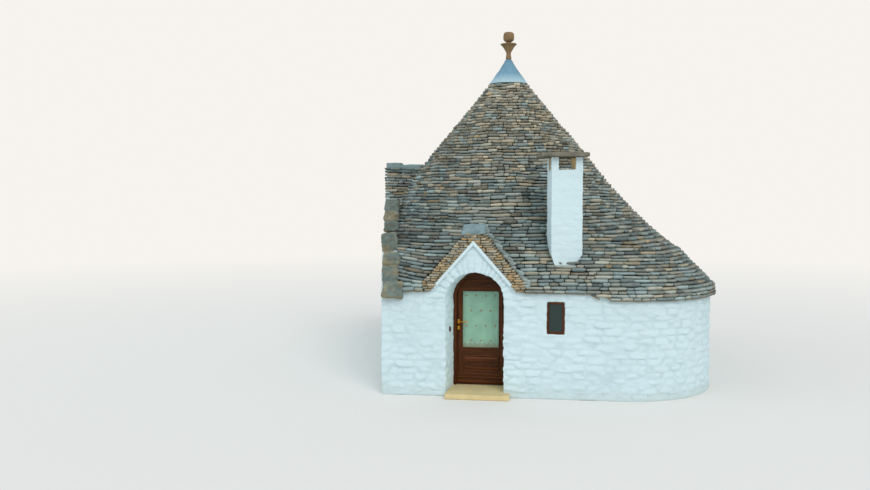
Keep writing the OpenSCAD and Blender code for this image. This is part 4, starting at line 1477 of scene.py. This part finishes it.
class TRULLO_OT_edge_stones(bpy.types.Operator):
    """Add the blocks of the left edge and the pale stones of the saddle's ridge"""

    bl_idname = "trullo.edge_stones"
    bl_label = "Edge and ridge stones"

    # height of the foot, height, width, and how far the block stands out and leans
    BLOCKS = (
        (1.755, 0.304, 0.38, 0.065, 0.06),
        (2.040, 0.264, 0.30, 0.050, -0.03),
        (2.295, 0.234, 0.33, 0.050, 0.05),
        (2.500, 0.374, 0.32, 0.070, -0.12),
        (2.880, 0.194, 0.30, 0.060, 0.06),
        (3.070, 0.204, 0.31, 0.060, -0.04),
        (3.270, 0.214, 0.30, 0.060, 0.03),
    )
    VERGE_X = -1.95

    def execute(self, context):
        hues = context.scene.trullo_colours
        finished(self.verge(), verge_coat("verge_stone", hues), "verge_stone", "verge_stones")
        ridge = copy_nodes("ridge_caps", "ridge_stones")
        weather(ridge, 0.014, 0.035, (0.2, 0.2, 0.1), edge=0.012, most=30000)
        coat = stone_coat("ridge_stone", hues.ridge, 0.72, 1.18)
        finished(ridge, coat, "pale_stone", "ridge_stones")
        return {"FINISHED"}

    def verge(self):
        """Rounded blocks that step up the left edge of the roof."""
        made = []
        for foot, tall, wide, out, lean in self.BLOCKS:
            y = max(roof_front(self.VERGE_X, foot + tall / 2) - out, -4.105)
            x = party_line(y) + wide / 2 + 0.012
            ob = block("verge_block", (-wide / 2, 0, 0), (wide / 2, 0.42, tall))
            pick(lambda f: f.normal.z > 0.9)
            bpy.ops.transform.resize(value=(0.88, 0.94, 1))
            done()
            round_edges(ob, 0.026)
            turn = Matrix.Rotation(math.radians(10), 4, "Z") @ Matrix.Rotation(lean, 4, "Y")
            ob.data.transform(Matrix.Translation((x, y, foot)) @ turn)
            made.append(ob)
        ob = joined("verge_blocks", *made)
        weather(ob, 0.016, 0.075, (0.17, 0.17, 0.11), most=30000)
        low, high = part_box("verge_stones")
        lowest = (low.x - 0.03, low.y, low.z - 0.08)
        return keep_inside(ob, lowest, (high.x + 0.1, high.y + 1, high.z + 0.1))


class TRULLO_OT_pinnacle(bpy.types.Operator):
    """Add the plaster cap, the carved stem with its dish, and the ball"""

    bl_idname = "trullo.pinnacle"
    bl_label = "Cap and pinnacle"

    NECK = 0.069
    # radius, and height above the stem's foot: a waist, then a dish with a sunken top
    STEM = (
        (0.069, 0.0), (0.060, 0.045), (0.052, 0.088), (0.049, 0.118), (0.051, 0.145),
        (0.060, 0.165), (0.078, 0.195), (0.096, 0.226), (0.114, 0.258), (0.134, 0.287),
        (0.158, 0.308), (0.179, 0.322), (0.180, 0.338), (0.168, 0.340), (0.120, 0.334),
        (0.067, 0.338), (0.061, 0.354),
    )
    # radius, and share of the ball's height
    BALL = (
        (0.0, 0.0), (0.056, 0.0), (0.076, 0.03), (0.096, 0.09), (0.110, 0.17),
        (0.118, 0.28), (0.120, 0.42), (0.119, 0.62), (0.112, 0.78), (0.098, 0.90),
        (0.072, 0.965), (0.036, 0.995), (0.0, 1.0),
    )

    def execute(self, context):
        hues = context.scene.trullo_colours
        low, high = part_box("plaster_cap")
        foot, tall = high.x, high.z - low.z
        line = [(0.0, low.z + 0.002), (foot, low.z)]
        for k in range(1, 15):
            t = k / 15
            line.append((self.NECK + (foot - self.NECK) * (1 - t) ** 1.16, low.z + tall * t))
        cap = self.turned("cap_plaster", line + [(self.NECK, high.z), (0.0, high.z)], 64)
        relief(cap, 0.016, (0.16, 0.16, 0.12), middle=0.52)
        finished(cap, cap_coat("cap_plaster", hues), "cap_plaster", "plaster_cap")

        coat = stone_coat(
            "pinnacle_stone", hues.pinnacle, 0.62, 1.2, grain=0.005, coarse=9.0, spots=0.2
        )
        low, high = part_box("pinnacle_stem")
        line = [(0.0, low.z)] + [(r, low.z + z) for r, z in self.STEM]
        stem = self.turned("pinnacle_stem_stone", line + [(0.062, high.z), (0.0, high.z)], 48)
        relief(stem, 0.003, (0.05, 0.05, 0.05))
        keep_inside(stem, low, high)
        finished(stem, coat, "pinnacle_stone", "pinnacle_stem")

        low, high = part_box("pinnacle_ball")
        line = [(r, low.z + t * (high.z - low.z)) for r, t in self.BALL]
        ball = self.turned("pinnacle_ball_stone", line, 48)
        relief(ball, 0.006, (0.07, 0.07, 0.05))
        keep_inside(ball, low, high)
        finished(ball, coat, "pinnacle_stone", "pinnacle_ball")
        return {"FINISHED"}

    def turned(self, name, line, steps):
        """A profile of (radius, height) points spun round the house's axis."""
        edges = [(i, i + 1) for i in range(len(line) - 1)]
        ob = add_mesh(name, [(r, 0, z) for r, z in line], edges)
        edit(ob)
        bpy.ops.mesh.spin(steps=steps, angle=2 * math.pi, center=(0, 0, 0), axis=(0, 0, 1))
        bpy.ops.mesh.select_all(action="SELECT")
        bpy.ops.mesh.remove_doubles(threshold=0.0002)
        bpy.ops.mesh.select_all(action="SELECT")
        bpy.ops.mesh.normals_make_consistent(inside=False)
        done()
        modify(ob, "SUBSURF", levels=1, render_levels=1)
        smooth(ob, 50)
        return ob


class TRULLO_OT_chimney(bpy.types.Operator):
    """Add the whitewashed chimney with its smoke openings and rough top slab"""

    bl_idname = "trullo.chimney"
    bl_label = "Chimney"

    FOOT = 2.37
    STONE = (0.34, 0.34, 0.13)

    def execute(self, context):
        hues = context.scene.trullo_colours
        ob = copy_nodes("chimney_plaster", "chimney_shaft", "chimney_posts")
        remesh(ob, 0.014)
        gap, own, lean = rubble(points(ob), self.STONE, 19)
        swell(ob, 0.008 * (ease(gap / 0.34) * (0.6 + 0.9 * own + 0.5 * lean) - 0.6))
        relief(ob, 0.014, (0.5, 0.5, 0.3))
        modify(ob, "SMOOTH", factor=0.5, iterations=3)
        self.chamfer(ob)
        thin(ob, 60000)
        smooth(ob, 60)
        ob.data.materials.append(whitewash_coat("chimney_whitewash", hues, 0.005, foot=False))
        ob.data.materials.append(stone_coat("smoke_ochre", hues.smoke, 0.75, 1.08))
        spots = np.empty(len(ob.data.polygons) * 3)
        ob.data.polygons.foreach_get("center", spots)
        x, y, z = spots.reshape(-1, 3).T
        u, v = from_chimney(x, y)
        inside = (z > SMOKE_FOOT) & (np.abs(u) < 0.265) & (np.abs(v) < 0.235)
        ob.data.polygons.foreach_set("material_index", inside.astype(np.int32))
        finished(ob, None, "whitewash", "chimney_shaft", "chimney_posts")

        top = copy_nodes("chimney_top_slab", "chimney_slab")
        weather(top, 0.014, 0.05, (0.16, 0.16, 0.06), edge=0.01, most=20000)
        keep_inside(top, *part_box("chimney_slab"))
        coat = stone_coat("chimney_stone", hues.chimney_top, 0.6, 1.25, coarse=6.0)
        finished(top, coat, "roof_slabs", "chimney_slab")
        return {"FINISHED"}

    def chamfer(self, ob):
        """Draws the shaft's corners in towards its foot."""
        low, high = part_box("chimney_shaft")
        mid = (low.x + high.x) / 2
        co = points(ob)
        t = np.clip((self.FOOT + 0.16 - co[:, 2]) / 0.16, 0, 1.3)
        corner = np.clip(np.abs(co[:, 0] - mid) / 0.28, 0, 1)
        co[:, 0] = mid + (co[:, 0] - mid) * (1 - 0.32 * t * corner**2)
        set_points(ob, co)


class TRULLO_OT_door(bpy.types.Operator):
    """Add the arched wooden door with its glass, panel, boards, handles and curtain"""

    bl_idname = "trullo.door"
    bl_label = "Door"

    # left, foot, right and head of the glass's bead and of the moulding round the panel
    BEAD = (-0.6555, 0.770, 0.0375, 1.840)
    MOULDING = (-0.6555, 0.340, 0.0375, 0.640)

    def execute(self, context):
        sizes, hues = context.scene.trullo_sizes, context.scene.trullo_colours
        upright = wood_coat("door_wood", hues, "z")
        across = wood_coat("door_boards", hues, "x")
        self.surround(sizes, upright)
        self.leaf(sizes, upright, across)
        self.panel(across)
        glass = copy_nodes("door_pane", "door_glass")
        coat = door_glass_coat("door_glass", hues.door_pane)
        finished(glass, coat, "door_glass", "door_glass", body="door")
        for node, name, body in (
            ("door_handles", "door_brass", "door"),
            ("door_hinges", "hinge_brass", "root"),
            ("curtain_rods", "rod_brass", "door"),
        ):
            piece = self.handles(name) if node == "door_handles" else copy_nodes(name, node)
            round_edges(piece, 0.0012, angle=40)
            smooth(piece, 40)
            finished(piece, metal_coat(name, hues.brass), "door_brass", node, body=body)
        self.curtain(sizes, hues)
        return {"FINISHED"}

    def surround(self, sizes, wood):
        """The frame, let into the masonry's uneven arch."""
        ob = copy_nodes("door_frame_wood", "door_frame")
        low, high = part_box("door_frame")
        mid = (low.x + high.x) / 2
        co = points(ob)
        dx, dz = co[:, 0] - mid, np.maximum(co[:, 2] - ARCH_Z, 0)
        far = np.hypot(dx, dz)
        grow = np.where(far > 0.475, 1 + 0.025 / far, 1)
        co[:, 0] = mid + dx * grow
        co[:, 2] += dz * (grow - 1)
        set_points(ob, co)
        round_edges(ob, sizes.board_edge)
        smooth(ob, 35)
        finished(ob, wood, "door_wood", "door_frame")

    def leaf(self, sizes, upright, across):
        """The leaf: boards in its arched head and across its foot, a bead and a moulding."""
        leaf = copy_nodes("door_leaf_wood", "door_leaf")
        round_edges(leaf, 0.003, angle=50)
        boards = []
        for k in range(5):
            z = 1.862 + k * 0.056
            half = math.sqrt(max(0.42**2 - max(z + 0.05 - ARCH_Z, 0) ** 2, 0.01))
            boards.append((half, z, z + 0.049))
        for k in range(3):
            z = 0.118 + k * 0.064
            boards.append((0.436, z, z + 0.058))
        parts = [leaf]
        front, back = DOOR_FACE - 0.006, DOOR_FACE + 0.004
        for half, foot, head in boards:
            board = block("board", (DOOR_X - half, front, foot), (DOOR_X + half, back, head))
            done()
            round_edges(board, sizes.board_edge)
            parts.append(board)
        parts.append(self.border("bead", self.BEAD, 0.016, 0.008, sizes))
        parts.append(self.border("moulding", self.MOULDING, 0.018, 0.007, sizes))
        leaf = joined("door_leaf_wood", *parts)
        smooth(leaf, 35)
        finished(leaf, upright, "door_wood", "door_leaf", body="door")
        leaf.data.materials.append(across)
        (left, _, right, head), (_, low, _, high) = self.BEAD, self.MOULDING
        for p in leaf.data.polygons:
            x, y, z = p.center
            rail = z < low or high < z < self.BEAD[1] or z > head
            between = left - 0.0045 < x < right + 0.0025
            p.material_index = int(rail and (between or y < DOOR_FACE - 0.002))

    def border(self, name, box, wide, out, sizes):
        """Four mitred strips round a rectangle in the door's face, as one frame of mouldings."""
        x0, z0, x1, z1 = box
        ob = block(name, (x0, DOOR_FACE - out, z0), (x1, DOOR_FACE + 0.006, z1))
        pick(lambda f: abs(f.normal.y) > 0.9)
        bpy.ops.mesh.inset(thickness=wide, depth=0)
        bpy.ops.mesh.bridge_edge_loops()
        done()
        return round_edges(ob, sizes.board_edge, 3)

    def panel(self, wood):
        """The lower panel, raised in its middle on both faces."""
        low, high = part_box("door_panel")
        gap = 0.001
        lowest = (low.x + gap, low.y, low.z + gap)
        ob = block("door_panel_wood", lowest, (high.x - gap, high.y, high.z - gap))
        for side in (-1, 1):
            pick(lambda f, s=side: f.normal.y * s > 0.9)
            for wide, rise in ((0.035, 0.0), (0.024, 0.011), (0.006, -0.001)):
                bpy.ops.mesh.inset(thickness=wide, depth=rise)
        done()
        round_edges(ob, 0.0015)
        smooth(ob, 35)
        finished(ob, wood, "door_wood", "door_panel", body="door")

    def handles(self, name):
        """On each face a lever on a small rose, and a key plate below it."""
        low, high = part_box("door_handles")
        x, z, half = low.x + 0.021, 1.262, 0.019
        made = []
        for skin, side in ((low.y + 0.057, -1), (high.y - 0.057, 1)):
            near, far = sorted((skin, skin + side * 0.007))
            for foot, head in ((z - 0.040, z + 0.040), (z - 0.150, z - 0.085)):
                made.append(block("plate", (x - half, near, foot), (x + half, far, head)))
                done()
            out = skin + side * 0.048
            made.append(rod("neck", (x, skin, z), (x, out, z), 0.010))
            made.append(rod("lever", (x - 0.010, out, z), (high.x, out, z - 0.004), 0.010))
        return joined(name, *made)

    def curtain(self, sizes, hues):
        """A gathered net on the two rods; its folds open a little towards the foot."""
        low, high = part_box("door_curtain")
        across, rows = 260, 40
        x = np.linspace(low.x, high.x, across)
        t = np.linspace(0, 1, rows)[:, None]
        turn = 2 * math.pi * (x - low.x) / sizes.lace_fold
        turn = turn + 0.9 * np.sin(7 * x + 1) + 0.5 * np.sin(17 * x)
        swing = (high.y - low.y) / 2 * (0.75 + 0.25 * np.sin(2.2 * t))
        y = (low.y + high.y) / 2 + swing * np.sin(turn + 0.5 * np.sin(3 * t))
        z = low.z + t * (high.z - low.z)
        co = np.stack(np.broadcast_arrays(x, y, z), -1).reshape(-1, 3)
        corners = [j * across + i for j in range(rows - 1) for i in range(across - 1)]
        faces = [(k, k + 1, k + across + 1, k + across) for k in corners]
        ob = add_mesh("lace_curtain", co.tolist(), faces=faces)
        step = np.linalg.norm(np.diff(co[:across], axis=0), axis=1)
        run = np.concatenate([[0], np.cumsum(step)])
        where = np.empty(len(ob.data.loops), np.int32)
        ob.data.loops.foreach_get("vertex_index", where)
        flat = np.stack([run[where % across], co[where, 2] - low.z], -1)
        ob.data.uv_layers.new(name="cloth").data.foreach_set("uv", flat.ravel())
        smooth(ob, 80)
        coat = lace_coat("lace", hues, sizes.sprig_across, sizes.sprig_apart)
        finished(ob, coat, "lace", "door_curtain", body="door")


class TRULLO_OT_window(bpy.types.Operator):
    """Add the small window's frame and its dark pane"""

    bl_idname = "trullo.window"
    bl_label = "Window"

    def execute(self, context):
        sizes, hues = context.scene.trullo_sizes, context.scene.trullo_colours
        ob = copy_nodes("window_frame_wood", "window_frame")
        low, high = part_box("window_frame")
        co = points(ob)
        # the frame's outer edge runs on into the uneven masonry
        for axis in (0, 2):
            co[:, axis] -= 0.03 * (co[:, axis] < low[axis] + 0.005)
            co[:, axis] += 0.03 * (co[:, axis] > high[axis] - 0.005)
        set_points(ob, co)
        round_edges(ob, sizes.board_edge)
        smooth(ob, 35)
        finished(ob, wood_coat("window_wood", hues, "z", 0.1), "door_wood", "window_frame")
        pane = copy_nodes("window_pane", "window_glass")
        coat = window_glass_coat("window_glass", hues.window_pane)
        finished(pane, coat, "window_glass", "window_glass")
        return {"FINISHED"}


class TRULLO_OT_ground_stones(bpy.types.Operator):
    """Add the beige step, the flagged floor and the doorbell"""

    bl_idname = "trullo.ground_stones"
    bl_label = "Step, floor and bell"

    def execute(self, context):
        hues = context.scene.trullo_colours
        low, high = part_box("threshold")
        step = copy_nodes("step_stone", "threshold")
        weather(step, 0.012, 0.010, (0.3, 0.3, 0.08), edge=0.012, most=30000)
        co = points(step)
        # the part of the step that lies left of the doorway is drawn in
        doorway = -0.86
        co[:, 0] += 0.13 * np.clip((doorway - co[:, 0]) / (doorway - low.x), 0, 1)
        set_points(step, co)
        keep_inside(step, low, high)
        coat = stone_coat(
            "step_stone", hues.step, 0.86, 1.08, grain=0.003, coarse=3.0, spots=0.1
        )
        finished(step, coat, "step_stone", "threshold")
        flags = copy_nodes("floor_flags", "floor")
        finished(flags, floor_coat("floor_stone", hues), "floor_stone", "floor")

        bell = copy_nodes("bell_box", "doorbell")
        round_edges(bell, 0.004, 3)
        low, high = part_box("doorbell")
        y, z = (low.y + high.y) / 2, 1.165
        button = rod("button", (low.x, y, z), (high.x, y, z), 0.011, 20)
        bell = joined("bell_box", bell, button)
        smooth(bell, 40)
        finished(bell, bell_coat("bell_brown", hues.bell), "bell_brown", "doorbell")
        return {"FINISHED"}


class TRULLO_PT_panel(bpy.types.Panel):
    """Lists the operators that build the house, and its sizes and colours"""

    bl_idname = "TRULLO_PT_panel"
    bl_label = "Trullo House"
    bl_space_type = "VIEW_3D"
    bl_region_type = "UI"
    bl_category = "Trullo"

    def draw(self, context):
        for op in PIECES:
            self.layout.operator(op.bl_idname)
        for group in (context.scene.trullo_sizes, context.scene.trullo_colours):
            box = self.layout.box()
            for key in group.bl_rna.properties.keys():
                if key not in ("rna_type", "name"):
                    box.prop(group, key)


PIECES = (
    TRULLO_OT_stage,
    TRULLO_OT_masonry,
    TRULLO_OT_roof,
    TRULLO_OT_gable,
    TRULLO_OT_edge_stones,
    TRULLO_OT_pinnacle,
    TRULLO_OT_chimney,
    TRULLO_OT_door,
    TRULLO_OT_window,
    TRULLO_OT_ground_stones,
)
CLASSES = (TrulloSizes, TrulloColours, *PIECES, TRULLO_PT_panel)


def register():
    for cls in CLASSES:
        bpy.utils.register_class(cls)
    bpy.types.Scene.trullo_sizes = PointerProperty(type=TrulloSizes)
    bpy.types.Scene.trullo_colours = PointerProperty(type=TrulloColours)


def unregister():
    del bpy.types.Scene.trullo_colours
    del bpy.types.Scene.trullo_sizes
    for cls in reversed(CLASSES):
        bpy.utils.unregister_class(cls)


def main():
    register()
    clear()
    bpy.ops.trullo.stage()
    bpy.ops.trullo.masonry()
    bpy.ops.trullo.roof()
    bpy.ops.trullo.gable()
    bpy.ops.trullo.edge_stones()
    bpy.ops.trullo.pinnacle()
    bpy.ops.trullo.chimney()
    bpy.ops.trullo.door()
    bpy.ops.trullo.window()
    bpy.ops.trullo.ground_stones()
    clear()
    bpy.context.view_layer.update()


if __name__ == "__main__":
    main()
